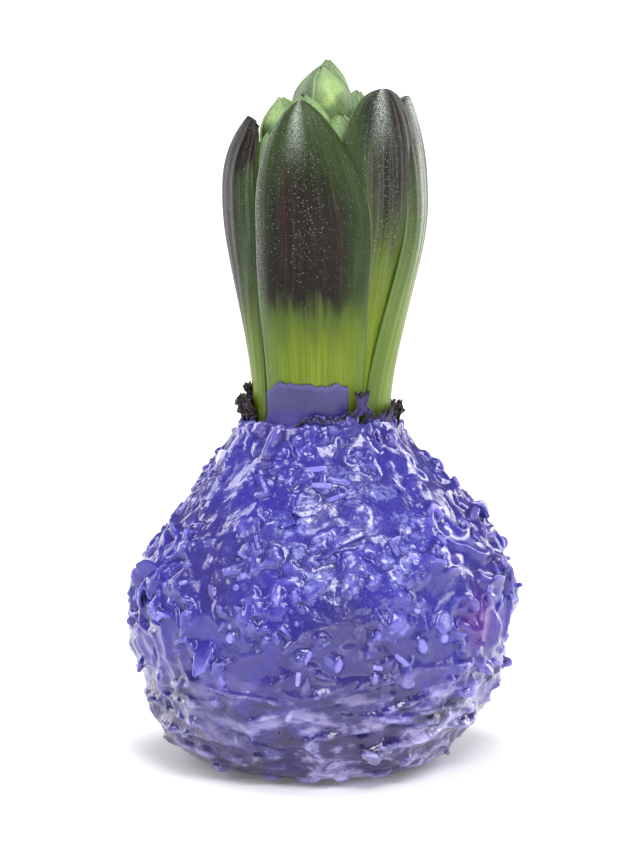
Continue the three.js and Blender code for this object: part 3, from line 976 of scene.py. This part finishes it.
def leaf_finish(name, leaves):
    """Waxy leaf: striped yellow green below, dark purple brown above, with green margins and pale grain."""
    shade = LEAF_SHADES[name]
    finish = Finish(
        name + "_skin", leaves.base, Subsurface_Weight=0.05, Subsurface_Scale=1.0 * MM,
        Specular_IOR_Level=0.25,
    )
    across, along = finish.surface()
    where = finish.place()
    streak = finish.streaks(across * 34, along * 2.2, 4, 0.6)
    fine = finish.streaks(across * 90, along * 3, 2)
    patch = finish.streaks(across * 8, along * 5, 3)
    grain = finish.noise(where, 4600, 2, 0.6)

    # Stripes of the lower leaf.
    finish.tint(streak.between(0.35, 0.68), (0.18, 0.235, 0.026))
    finish.tint(fine.between(0.5, 0.68) * 0.55, (0.08, 0.125, 0.012))
    finish.tint(abs(across - 0.55).between(0.25, 0.45) * 0.6, (0.085, 0.14, 0.04))

    # Green, then the dark middle, whose border is frayed.
    toward_dark = along + ((streak - 0.5) * 0.17 + (patch - 0.5) * 0.2)
    side = abs(across - shade["middle"]) + (streak - 0.5) * 0.12 + (patch - 0.5) * 0.3
    side = side - along.between(0.8, 0.97) * shade["hood"]
    in_middle = side.between(shade["spread"] + 0.13, shade["spread"] - 0.15)
    below_tip = (along + side * 0.4).between(*shade["tip"])
    purple = in_middle * toward_dark.between(shade["start"], shade["end"]) * (below_tip * shade["dark"])
    green = finish.mix(fine.between(0.3, 0.7), leaves.green, (0.024, 0.042, 0.014))
    green = finish.mix(streak.between(0.5, 0.7) * 0.4, green, (0.065, 0.1, 0.03))
    brown = finish.mix(streak.between(0.5, 0.66), leaves.dark, (0.03, 0.013, 0.011))
    finish.tint(toward_dark.between(shade["start"] - 0.16, shade["end"] + 0.04), green)
    finish.tint(purple, brown)

    # Powder, bloom along one rim, a painted highlight on the hood, painted gloss highlights, specks and a
    # green margin.
    upper = along.between(0.3, 0.6)
    finish.tint(grain.between(0.5, 0.72) * (upper * 0.14), (0.12, 0.15, 0.11))
    bloom = across.between(0.16, 0.02) * along.between(0.26, 0.48) * shade["bloom"]
    finish.tint(bloom * grain.between(0.4, 0.62), (0.36, 0.38, 0.36))
    column = abs(across - 0.42)
    # Painted highlight on the hood near the tip.
    hood_highlight = column.between(0.16, 0.0) * along.between(0.8, 0.97) * grain.between(0.35, 0.62)
    finish.tint(hood_highlight * 0.78, (0.44, 0.5, 0.45))
    # Painted gloss highlights in streaks, to one side of the middle.
    gloss = streak.between(0.47, 0.62) * along.between(0.25, 0.5)
    gloss = gloss * grain.between(0.3, 0.55) * across.between(0.12, 0.34)
    finish.tint(gloss * shade["gloss"], (0.36, 0.385, 0.36))
    dense = column.between(0.3, 0.04) * along.between(0.4, 0.75) * patch.between(0.35, 0.6)
    many = dense * 0.35 + upper * 0.12
    some = (finish.noise(where, 1500, 2) + many).between(0.64, 0.76)
    more = (finish.noise(where, 1100, 2) + many).between(0.58, 0.74)
    large = finish.spots(where, 2400).between(0.24, 0.08) * some
    small = finish.spots(where, 4300).between(0.24, 0.08) * more
    finish.tint(finish.maths("MAXIMUM", large, small * 0.55) * 0.65, (0.5, 0.53, 0.48))
    finish.tint(abs(across * 2 - 1).between(0.95, 0.99) * 0.6, (0.2, 0.3, 0.12))

    pores = finish.bump(grain, 0.35, 0.05 * MM, finish.bump(fine, 0.4, 0.07 * MM))
    return finish.done(Roughness=streak.ramp(0.3, 0.5), Normal=pores)


class HYACINTH_OT_leaves(bpy.types.Operator):
    """Model the five leaves round the flower head"""

    bl_idname = "hyacinth.leaves"
    bl_label = "Leaves"

    def execute(self, context):
        leaves = context.scene.hyacinth_leaves
        for name in LEAVES:
            blade = leaf_blade(name, leaves)
            smooth_shaded(blade)
            finished(blade, leaf_finish(name, leaves), [name])
        return {"FINISHED"}


# ---- Film of wax up the front leaf ----

# In mm, but for its reach across the leaf, whose margins are at -1 and 1.
FILM_TOP = 75.3
FILM_FOOT = 65.5
FILM_THICKNESS = 0.5
FILM_REACH = (-0.87, 0.6)


def wax_film():
    """A smooth film on the front leaf with a torn upper edge."""
    leaf = LEAVES["leaf_front"]
    foot, tip = LEAF_FOOT / MM, leaf["tip"]

    def place(across, along):
        torn = 0.5 * lump((across, 2, 0), 0.17) + 0.45 * lump((across, 0, 0), 0.06)
        torn += 0.5 * lump((across, 5, 0), 0.019)
        torn -= 2.6 * (1 - smoothstep(across, 0, 0.3)) ** 2 + 0.9 * smoothstep(across, 0.9, 1)
        height = lerp(FILM_FOOT, FILM_TOP + torn, along)
        side = lerp(*FILM_REACH, across) + 0.006 * lump((height, across > 0.5, 0), 1.5)
        lift = 0.4 + 0.7 * (1 - smoothstep(along, 0.1, 0.45)) + 0.07 * lump((8 * across, 5 * along, 0), 1)
        return leaf_point(leaf, (height - foot) / (tip - foot), side, -lift) * MM

    film = sheet("wax_film", 150, 26, place)
    modify(film, "SOLIDIFY", thickness=FILM_THICKNESS * MM, offset=-1)
    corner = math.radians(60)
    modify(film, "BEVEL", width=0.12 * MM, segments=2, limit_method="ANGLE", angle_limit=corner)
    return film


def film_finish():
    """Satin wax, lilac and a little see-through at its edges."""
    finish = Finish(
        "wax_film", (0.045, 0.038, 0.13), Roughness=0.42, Subsurface_Weight=0.2, Subsurface_Scale=1.0 * MM
    )
    where = finish.place()
    _, along = finish.surface()
    finish.tint(finish.noise(where, 260, 3).between(0.3, 0.7), (0.06, 0.052, 0.165))
    finish.tint(finish.noise(where, 2400, 2).between(0.55, 0.75) * 0.3, (0.16, 0.14, 0.36))
    finish.tint(along.between(0.62, 0.3), (0.05, 0.038, 0.21))
    finish.tint(along.between(0.86, 0.99) * 0.5, (0.13, 0.11, 0.3))
    return finish.done(Normal=finish.bump(finish.noise(where, 1500, 3), 0.4, 0.05 * MM))


class HYACINTH_OT_film(bpy.types.Operator):
    """Model the film of wax up the front leaf"""

    bl_idname = "hyacinth.film"
    bl_label = "Wax film"

    def execute(self, context):
        film = wax_film()
        smooth_shaded(film, math.radians(50))
        finished(film, film_finish(), ["wax_coat"])
        return {"FINISHED"}


# ---- Flower head ----

# Lengths, heights and distances from the stem's axis in mm. Lean and azimuth in degrees.
BUD_LENGTH = 19
BUD_RADIUS = 5.4
BUDS = 21
BUD_LEAN = 13
FIRST_BUD = {"azimuth": -25, "foot": 112, "out": 3.4}
LAST_BUD_FOOT = 80
LOWER_BUD_OUT = 4.8
# The two buds at the top: x, y and height from the head's middle top in mm, turn in radians, and width.
TOP_BUDS = [(0.5, -0.8, -0.7, -1.1, 1.07), (1.5, 2.2, 0, 0.4, 0.8)]
# Two more that fill gaps at the sides: azimuth in radians, foot and distance from the stem's axis in mm.
SIDE_BUDS = [(-1.1, 104.5, 6.3), (0.75, 100.0, 6.0)]
STEM_RADIUS = 4.6
STEM_LENGTH = 60
GOLDEN_ANGLE = math.pi * (3 - math.sqrt(5))


def bud_radius(share):
    return BUD_RADIUS * max(0.0, 1 - abs(2 * share**1.15 - 1) ** 2.4) ** 1.1


def petal(number, thickness):
    """One of a bud's three outer petals, with a rib. One edge of it lies over the next petal."""
    half = math.radians(76)
    middle = number * math.tau / 3

    def place(across, along):
        share = lerp(0.02, 0.985, along)
        side = 2 * across - 1
        overlap = lerp(0.93, 1.03, across) if share > 0.2 else lerp(0.93, 1.03, across * share / 0.2)
        rib = 1 + 0.05 * math.exp(-((side / 0.2) ** 2))
        rib -= 0.03 * math.exp(-(((abs(side) - 0.42) / 0.16) ** 2))
        rib += 0.02 * lump((side, along, number), 0.35)
        narrow = 1 - 0.25 * smoothstep(share, 0.75, 1)
        angle = middle + half * side * narrow
        radius = bud_radius(share) * overlap * rib + 0.25 * smoothstep(share, 0.85, 1)
        tip_roll = 0.5 * smoothstep(share, 0.8, 1) * side**2
        height = BUD_LENGTH * share - tip_roll
        return Vector((radius * math.cos(angle), radius * math.sin(angle), height)) * MM

    blade = sheet("petal", 16, 22, place)
    group = thickness_group(blade, lambda across, along: max(0.3, 1 - abs(2 * across - 1) ** 2.5))
    modify(blade, "SOLIDIFY", thickness=thickness, offset=-1, vertex_group=group)
    return blade


def bud(thickness):
    """A closed bud: three thick petals over a core."""
    petals = [petal(number, thickness) for number in range(3)]
    bpy.ops.mesh.primitive_uv_sphere_add(segments=14, ring_count=10, radius=1)
    core = named("core")
    for vertex in core.data.vertices:
        share = lerp(0.02, 0.95, (vertex.co.z + 1) / 2)
        across = math.hypot(vertex.co.x, vertex.co.y)
        radius = 0.86 * bud_radius(share) * MM / across if across > 1e-4 else 0
        vertex.co = Vector((vertex.co.x * radius, vertex.co.y * radius, BUD_LENGTH * share * MM))
    sizes = [len(piece.data.vertices) for piece in (*petals, core)]
    return joined([*petals, core], "bud"), sizes


def standing_bud(azimuth, foot, out, number):
    """Turn and place of a bud that leans out from the stem."""
    return (
        Matrix.Rotation(azimuth, 4, "Z")
        @ Matrix.Translation(Vector((0, -out, foot)) * MM)
        @ Matrix.Rotation(math.radians(BUD_LEAN), 4, "X")
        @ Matrix.Rotation(2 * number, 4, "Z")
    )


def bud_place(number):
    """Turn and place of a bud that winds down the stem."""
    foot = lerp(FIRST_BUD["foot"], LAST_BUD_FOOT, (number / (BUDS - 1)) ** 1.15)
    out = lerp(FIRST_BUD["out"], LOWER_BUD_OUT, smoothstep(number, 0, 5))
    azimuth = math.radians(FIRST_BUD["azimuth"]) + number * GOLDEN_ANGLE
    return standing_bud(azimuth, foot, out, number)


def flower_head(thickness, seed):
    """The stem and all its buds, as one piece, with a shade for each petal: 0 is bright and 1 is dusky."""
    draw = random.Random(seed)
    model, sizes = bud(thickness)
    tops = [
        Matrix.Translation(Vector((x, y, z)) * MM + Vector((0, 0, HEAD_TOP - BUD_LENGTH * MM)))
        @ Matrix.Rotation(turn, 4, "Z")
        @ Matrix.Diagonal((wide, wide, 1, 1))
        for x, y, z, turn, wide in TOP_BUDS
    ]
    places = [*tops, *map(bud_place, range(BUDS))]
    places += [standing_bud(*place, number) for number, place in enumerate(SIDE_BUDS)]
    shades = []
    for place in places:
        tones = [0.35, 0.95, 0.95] if place in tops else [draw.uniform(0, 0.7) for _ in range(3)]
        for size, tone in zip(sizes, [*tones, 0.5]):
            shades += [tone] * size
    copies = [clone(model, place) for place in places]
    bpy.data.objects.remove(model)
    middle = (0, 0, LEAF_FOOT + STEM_LENGTH / 2 * MM)
    bpy.ops.mesh.primitive_cylinder_add(
        vertices=32, radius=STEM_RADIUS * MM, depth=STEM_LENGTH * MM, location=middle
    )
    head = joined([*copies, named("stem")], "flower_buds")
    shades += [0.3] * (len(head.data.vertices) - len(shades))
    return painted(head, "shade", [(shade, shade, shade) for shade in shades])


def bud_finish(buds):
    """Green petals, bright or dusky, with yellow green ribs, pale thin edges and fine grain."""
    finish = Finish(
        "bud_skin", buds.green, Roughness=0.46, Subsurface_Weight=0.08, Subsurface_Scale=1.0 * MM,
        Specular_IOR_Level=0.3,
    )
    across, along = finish.surface()
    where = finish.place()
    shade, _, _ = finish.attribute("shade")
    cloud = finish.noise(where, 190, 3)
    dots = finish.noise(where, 3600, 2, 0.4)
    lines = finish.streaks(across * 26, along * 2, 3)
    side = abs(across * 2 - 1)
    rib = side.between(0.55, 0.05) * along.between(0.98, 0.55) * cloud.between(0.36, 0.6)
    finish.tint(rib * 0.75, buds.bright)
    finish.tint(lines.between(0.5, 0.7) * 0.3, (0.3, 0.44, 0.15))
    finish.tint(side.between(0.3, 0.92) * cloud.between(0.2, 0.5) * 0.55, (0.09, 0.135, 0.07))
    finish.tint(shade * cloud.between(0.7, 0.3), (0.1, 0.135, 0.1))
    finish.tint(dots.between(0.52, 0.62) * 0.5, (0.1, 0.11, 0.1))
    finish.tint(finish.noise(where, 4200, 3).between(0.6, 0.7) * 0.4, (0.5, 0.62, 0.4))
    finish.tint(side.between(0.9, 0.99) * 0.5, (0.42, 0.5, 0.2))
    return finish.done(Normal=finish.bump(dots, 0.35, 0.05 * MM, finish.bump(lines, 0.3, 0.08 * MM)))


class HYACINTH_OT_buds(bpy.types.Operator):
    """Model the closed flower buds on their stem"""

    bl_idname = "hyacinth.buds"
    bl_label = "Flower buds"

    def execute(self, context):
        buds = context.scene.hyacinth_buds
        head = flower_head(buds.thickness, buds.seed)
        smooth_shaded(head, math.radians(50))
        finished(head, bud_finish(buds), ["flower_head"])
        return {"FINISHED"}


# ---- Dry skin at the neck, and the bulb ----


# What a sheet of skin is, for its material.
WAXED, THIN, DRY = 0.0, 0.5, 1.0

# Strips of skin round the neck: what they are, azimuths where they start and end, distance from the axis,
# foot and top (degrees, mm), flare outwards, curl of the edge in radians, seed and columns of faces.
SKIN_STRIPS = [
    (THIN, 26, 82, 14.0, 65.5, 69.4, 0.12, 0.6, 5, 130),
    (DRY, 76, 128, 13.3, 62.4, 68.0, 0.22, 1.0, 1, 110),
    (DRY, 120, 215, 13.1, 62.4, 68.4, 0.25, 0.8, 2, 140),
    (DRY, 205, 295, 13.1, 62.4, 67.6, 0.2, 0.8, 3, 140),
]


def skin_strip(start, end, radius, foot, top, flare, curl, seed, columns):
    """One strip of skin with a torn and curled edge."""

    def place(across, along):
        azimuth = math.radians(lerp(start, end, across))
        ends = math.sin(math.pi * across) ** 0.35
        torn = ends * (1 + 0.45 * lump((azimuth, 0, seed), 0.12) + 0.35 * lump((azimuth, 3, seed), 0.04))
        height = lerp(foot, foot + (top - foot) * torn, along)
        roll = curl * along**2 * (1 + 0.6 * lump((azimuth, 6, seed), 0.1))
        out = flare * (height - foot) + 1.1 * math.sin(roll)
        out += 0.35 * lump((azimuth * 14, height * 0.7, seed), 1)
        drop = 0.8 * (1 - math.cos(roll))
        return around(azimuth, radius + out, height - drop) * MM

    return sheet("strip", columns, 12, place)


def skin_lip(start, end, radius, foot, top, seed):
    """The waxed edge of the skin, curled outwards and down in waves round the front of the neck."""

    def place(across, along):
        azimuth = math.radians(lerp(start, end, across))
        ends = min(1, 7 * across, 7 * (1 - across)) ** 0.5
        wave = lump((azimuth, 0, seed), 0.15)
        torn = 1 + 0.4 * lump((azimuth, 9, seed), 0.03) + 0.25 * lump((azimuth, 12, seed), 0.012)
        curl = (0.8 + 0.8 * lump((azimuth, 4, seed), 0.08)) * ends
        turn = max(0, along - 0.3) / 0.7 * math.pi * 0.85 * torn
        shoulder = top + 0.9 * wave - 1.7 * (1 - smoothstep(across, 0, 0.3)) + smoothstep(across, 0.85, 1)
        height = lerp(foot, shoulder, min(1, along / 0.3)) + curl * math.sin(turn)
        out = radius + 0.7 * wave * smoothstep(along, 0, 0.3) + curl * (1 - math.cos(turn))
        return around(azimuth, out, height) * MM

    return sheet("lip", 150, 20, place)


def skin_crown(azimuth, radius, foot, height, width, seed):
    """A flap with a narrow waist that stands up from the skin and opens into a jagged crown."""
    turn = Matrix.Rotation(math.radians(azimuth), 3, "Z")

    def place(across, along):
        side = 2 * across - 1
        waist = lerp(1.5, 0.62, smoothstep(along, 0, 0.5)) + 0.36 * smoothstep(along, 0.55, 1)
        jag = 1 + smoothstep(along, 0.5, 1) * (0.3 * lump((across, 0, seed), 0.15) + 0.15 * side**2)
        rough = 0.2 * lump((3 * side, 7 * along, seed), 1)
        out = radius + 0.7 * side**2 + 0.5 * lump((2 * side, 3 * along, seed + 4), 1)
        return turn @ Vector((side * waist * width / 2 + rough, -out, foot + along * height * jag)) * MM

    return sheet("crown", 20, 20, place)


# Crumpled rags of skin: azimuth, distance from the axis, foot, height, width (degrees, mm), lean outwards
# as a share of the height, and seed.
RAGS = [
    (76, 14.0, 67.2, 1.9, 1.6, 0.2, 3),
    (-72, 13.4, 66.4, 3.4, 2.2, 0.1, 4),
    (-80, 13.8, 66.6, 3.4, 2.4, 0.1, 5),
    (-88, 14.2, 66.2, 3.6, 2.6, 0.15, 6),
    (-97, 13.6, 66.0, 3.2, 2.4, 0.1, 7),
    (-106, 13.6, 65.8, 3.4, 2.6, 0.25, 16),
    (-92, 13.2, 70.6, 2.1, 1.5, 0.15, 8),
    (-122, 13.4, 65.0, 4.4, 5.0, 0.3, 9),
    (-148, 13.6, 65.0, 3.4, 4.4, 0.4, 10),
    (-172, 13.4, 65.0, 4.0, 4.8, 0.3, 11),
    (164, 13.6, 65.0, 3.4, 4.6, 0.35, 12),
    (138, 13.4, 65.0, 4.6, 4.4, 0.3, 13),
    (112, 13.6, 65.0, 3.6, 4.4, 0.35, 14),
    (94, 13.8, 65.5, 3.0, 3.0, 0.3, 15),
]


def skin_rag(azimuth, radius, foot, height, width, lean, seed):
    """One crumpled rag with a jagged edge."""
    turn = Matrix.Rotation(math.radians(azimuth), 3, "Z")

    def place(across, along):
        side = 2 * across - 1
        waist = 1 - 0.35 * math.sin(math.pi * min(1, 1.15 * along)) + 0.1 * along
        jag = 1 + 0.7 * lump((across, 0, seed), 0.14) + 0.4 * lump((across, 5, seed), 0.06)
        up = along * height * (jag if along > 0.5 else lerp(1, jag, 2 * along))
        crumple = 1.5 * lump((1.6 * side, 2.4 * along, seed), 1)
        crumple += 1.1 * lump((4 * side, 5 * along, seed + 3), 1)
        out = radius + lean * up + crumple * smoothstep(along, 0, 0.35) + 0.6 * side**2
        x = side * waist * width / 2 + 0.7 * lump((3 * side, 4 * along, seed + 6), 1)
        return turn @ Vector((x, -out, foot + up)) * MM

    return sheet("rag", 16, 16, place)


def toned(piece, tone):
    """Marks a sheet of skin as waxed, thin or dry."""
    return painted(piece, "shade", [(tone, tone, tone)] * len(piece.data.vertices))


def bulb_skin(thickness):
    """The torn skin: a low collar at the sides and the back, a curled lip and a flap in front, and rags."""
    pieces = [
        toned(skin_lip(start=-20, end=32, radius=14.1, foot=65.5, top=69.0, seed=4), WAXED),
        toned(skin_crown(azimuth=33, radius=14.2, foot=69.2, height=4.4, width=3.4, seed=21), THIN),
        *[toned(skin_strip(*values), tone) for tone, *values in SKIN_STRIPS],
        *[toned(skin_rag(*values), DRY) for values in RAGS],
    ]
    skin = joined(pieces, "skin_rags")
    modify(skin, "SOLIDIFY", thickness=thickness, offset=0)
    merge_points(skin)
    return skin


def skin_finish(settings):
    """Dark brittle skin with dusty torn edges, thin purple skin, and lilac wax on the lip with painted
    glints.
    """
    finish = Finish("dry_skin", (0.075, 0.062, 0.3), Roughness=0.5)
    where = finish.place()
    _, along = finish.surface()
    tone, _, _ = finish.attribute("shade")
    cloud = finish.noise(where, 520, 4)
    grain = finish.noise(where, 2600, 3)
    thin = finish.mix(cloud.between(0.35, 0.65), (0.026, 0.019, 0.075), (0.06, 0.046, 0.17))
    dry = finish.mix(cloud.between(0.4, 0.62), settings.colour, (0.05, 0.036, 0.045))
    dry = finish.mix(grain.between(0.52, 0.68) * 0.6, dry, settings.dust)
    dry = finish.mix((along + cloud * 0.4).between(0.5, 0.3), dry, (0.05, 0.038, 0.2))
    # Painted highlights: pale lilac glints in the grain of the waxed lip.
    finish.tint(grain.between(0.45, 0.7), (0.3, 0.29, 0.62))
    finish.tint(tone.between(0.1, 0.4), thin)
    finish.tint((along + (cloud - 0.5) * 0.35).between(0.76, 0.86), (0.014, 0.01, 0.016))
    finish.tint(tone.between(0.6, 0.9), dry)
    return finish.done(Normal=finish.bump(cloud, 0.6, 0.2 * MM, finish.bump(grain, 0.5, 0.08 * MM)))


def bulb_finish():
    """Dry tan bulb scales, seen only down the neck."""
    finish = Finish("bulb_scales", (0.5, 0.4, 0.24), Roughness=0.75)
    where = finish.place((1, 1, 0.25))
    fibres = finish.noise(where, 900, 4)
    finish.tint(fibres.between(0.35, 0.7), (0.3, 0.2, 0.11))
    finish.tint(finish.noise(where, 120, 3).between(0.4, 0.7) * 0.4, (0.62, 0.55, 0.4))
    return finish.done(Normal=finish.bump(fibres, 0.5, 0.1 * MM))


class HYACINTH_OT_skin(bpy.types.Operator):
    """Model the torn dry skin at the neck and finish the bulb under the wax"""

    bl_idname = "hyacinth.skin"
    bl_label = "Skin and bulb"

    def execute(self, context):
        settings = context.scene.hyacinth_skin
        skin = bulb_skin(settings.thickness)
        smooth_shaded(skin, math.radians(60))
        finished(skin, skin_finish(settings), ["bulb_skin"])
        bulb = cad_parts["bulb"]
        bulb.data.materials.clear()
        bulb.data.materials.append(bulb_finish())
        return {"FINISHED"}


# ---- Stage ----


# Soft lights: place, breadth and length in metres, and power in watts. The low one lies level and aims low.
SOFT_LIGHTS = [
    ("front_softbox", (0.12, -0.5, 0.62), (0.3, 0.24), 2.7),
    ("top_softbox", (-0.05, -0.05, 0.65), (0.25, 0.25), 1.5),
    ("left_softbox", (-0.5, -0.35, 0.3), (0.08, 0.3), 0.8),
    ("right_softbox", (0.5, -0.35, 0.24), (0.08, 0.3), 0.6),
    ("low_softbox", (0.08, -0.5, 0.02), (0.4, 0.03), 0.25),
    ("left_rim", (-0.42, 0.3, 0.22), (0.12, 0.5), 0.9),
    ("right_rim", (0.42, 0.3, 0.22), (0.12, 0.5), 1.3),
]
LOW_AIM = (0, 0, 0.02)


def area_light(name, place, aim, size, power):
    """A rectangular light."""
    data = bpy.data.lights.new(name, "AREA")
    data.shape = "RECTANGLE"
    data.size, data.size_y = size
    data.energy = power
    lamp = bpy.data.objects.new(name, data)
    lamp.location = place
    lamp.rotation_euler = (Vector(aim) - Vector(place)).to_track_quat("-Z", "Y").to_euler()
    bpy.context.scene.collection.objects.link(lamp)


# Strength of the white world as a light, in reflections and where the camera sees it.
ROOM_LIGHT, ROOM_IN_GLOSS, ROOM_SEEN = 0.5, 0.15, 1.0


def white_room():
    """A white world, with a strength of its own for each kind of ray."""
    world = bpy.data.worlds.new("room")
    world.use_nodes = True
    bpy.context.scene.world = world
    nodes, links = world.node_tree.nodes, world.node_tree.links
    path = nodes.new("ShaderNodeLightPath")
    strength = ROOM_LIGHT
    for ray, level in (("Is Glossy Ray", ROOM_IN_GLOSS), ("Is Camera Ray", ROOM_SEEN)):
        mix = nodes.new("ShaderNodeMix")
        mix.inputs["B"].default_value = level
        links.new(path.outputs[ray], mix.inputs["Factor"])
        if isinstance(strength, float):
            mix.inputs["A"].default_value = strength
        else:
            links.new(strength, mix.inputs["A"])
        strength = mix.outputs["Result"]
    nodes["Background"].inputs["Color"].default_value = (1, 1, 1, 1)
    links.new(strength, nodes["Background"].inputs["Strength"])


FLOOR_SIZE = 8
FLOOR_GAP = 0.05 * MM


def floor_finish(colour):
    """Pale floor that glows a little more the farther it lies from the object, so that it stays even."""
    finish = Finish("pale_floor", colour, Roughness=0.7, Emission_Color=(1, 1, 1))
    where = finish.place()
    finish.tint(finish.noise(where, 300, 3).between(0.3, 0.7), [0.99 * part for part in colour])
    glow = finish.away(where, (0, 0, 0)).between(0.1, 0.9) * 0.45 + 0.1
    return finish.done(Emission_Strength=glow)


class HYACINTH_OT_stage(bpy.types.Operator):
    """Set the pale floor, the soft lights and the camera"""

    bl_idname = "hyacinth.stage"
    bl_label = "Stage"

    def execute(self, context):
        stage = context.scene.hyacinth_stage
        bpy.ops.mesh.primitive_plane_add(size=FLOOR_SIZE, location=(0, 0, -FLOOR_GAP))
        floor = named("floor")
        floor.data.materials.append(floor_finish(stage.floor))
        white_room()
        middle = (0, 0, stage.centre)
        for name, place, size, power in SOFT_LIGHTS:
            aim = LOW_AIM if name == "low_softbox" else middle
            area_light(name, place, aim, size, power)

        camera = bpy.data.cameras.new("camera")
        camera.lens = stage.lens
        camera.clip_start, camera.clip_end = 0.1, 30
        away = stage.tall / 2 / (camera.sensor_width / 2 / stage.lens)
        view = bpy.data.objects.new("camera", camera)
        back = Vector((0, -math.cos(stage.elevation), math.sin(stage.elevation)))
        view.location = Vector(middle) + back * away
        view.rotation_euler = (-back).to_track_quat("-Z", "Y").to_euler()
        context.scene.collection.objects.link(view)
        context.scene.camera = view
        context.scene.view_settings.view_transform = "Standard"
        context.scene.view_settings.look = "Medium High Contrast"
        return {"FINISHED"}


# ---- Panel and main ----

OPERATORS = (
    HYACINTH_OT_wax,
    HYACINTH_OT_chips,
    HYACINTH_OT_film,
    HYACINTH_OT_leaves,
    HYACINTH_OT_buds,
    HYACINTH_OT_skin,
    HYACINTH_OT_stage,
)
SETTINGS = {
    "hyacinth_wax": WaxSettings,
    "hyacinth_leaves": LeafSettings,
    "hyacinth_buds": BudSettings,
    "hyacinth_skin": SkinSettings,
    "hyacinth_stage": StageSettings,
}


class HYACINTH_PT_panel(bpy.types.Panel):
    """The settings and the operators, in the order in which they are run"""

    bl_idname = "HYACINTH_PT_panel"
    bl_label = "Hyacinth"
    bl_space_type = "VIEW_3D"
    bl_region_type = "UI"
    bl_category = "Hyacinth"

    def draw(self, context):
        for key, group in SETTINGS.items():
            box = self.layout.box()
            for setting in group.__annotations__:
                box.prop(getattr(context.scene, key), setting)
        for operator in OPERATORS:
            self.layout.operator(operator.bl_idname)


def register():
    for group in SETTINGS.values():
        bpy.utils.register_class(group)
    for key, group in SETTINGS.items():
        setattr(bpy.types.Scene, key, PointerProperty(type=group))
    for kind in (*OPERATORS, HYACINTH_PT_panel):
        bpy.utils.register_class(kind)


def unregister():
    for kind in reversed((*OPERATORS, HYACINTH_PT_panel)):
        bpy.utils.unregister_class(kind)
    for key in SETTINGS:
        delattr(bpy.types.Scene, key)
    for group in SETTINGS.values():
        bpy.utils.unregister_class(group)


def main():
    register()
    bpy.ops.hyacinth.wax()
    bpy.ops.hyacinth.chips()
    bpy.ops.hyacinth.film()
    bpy.ops.hyacinth.leaves()
    bpy.ops.hyacinth.buds()
    bpy.ops.hyacinth.skin()
    bpy.ops.hyacinth.stage()


if __name__ == "__main__":
    main()
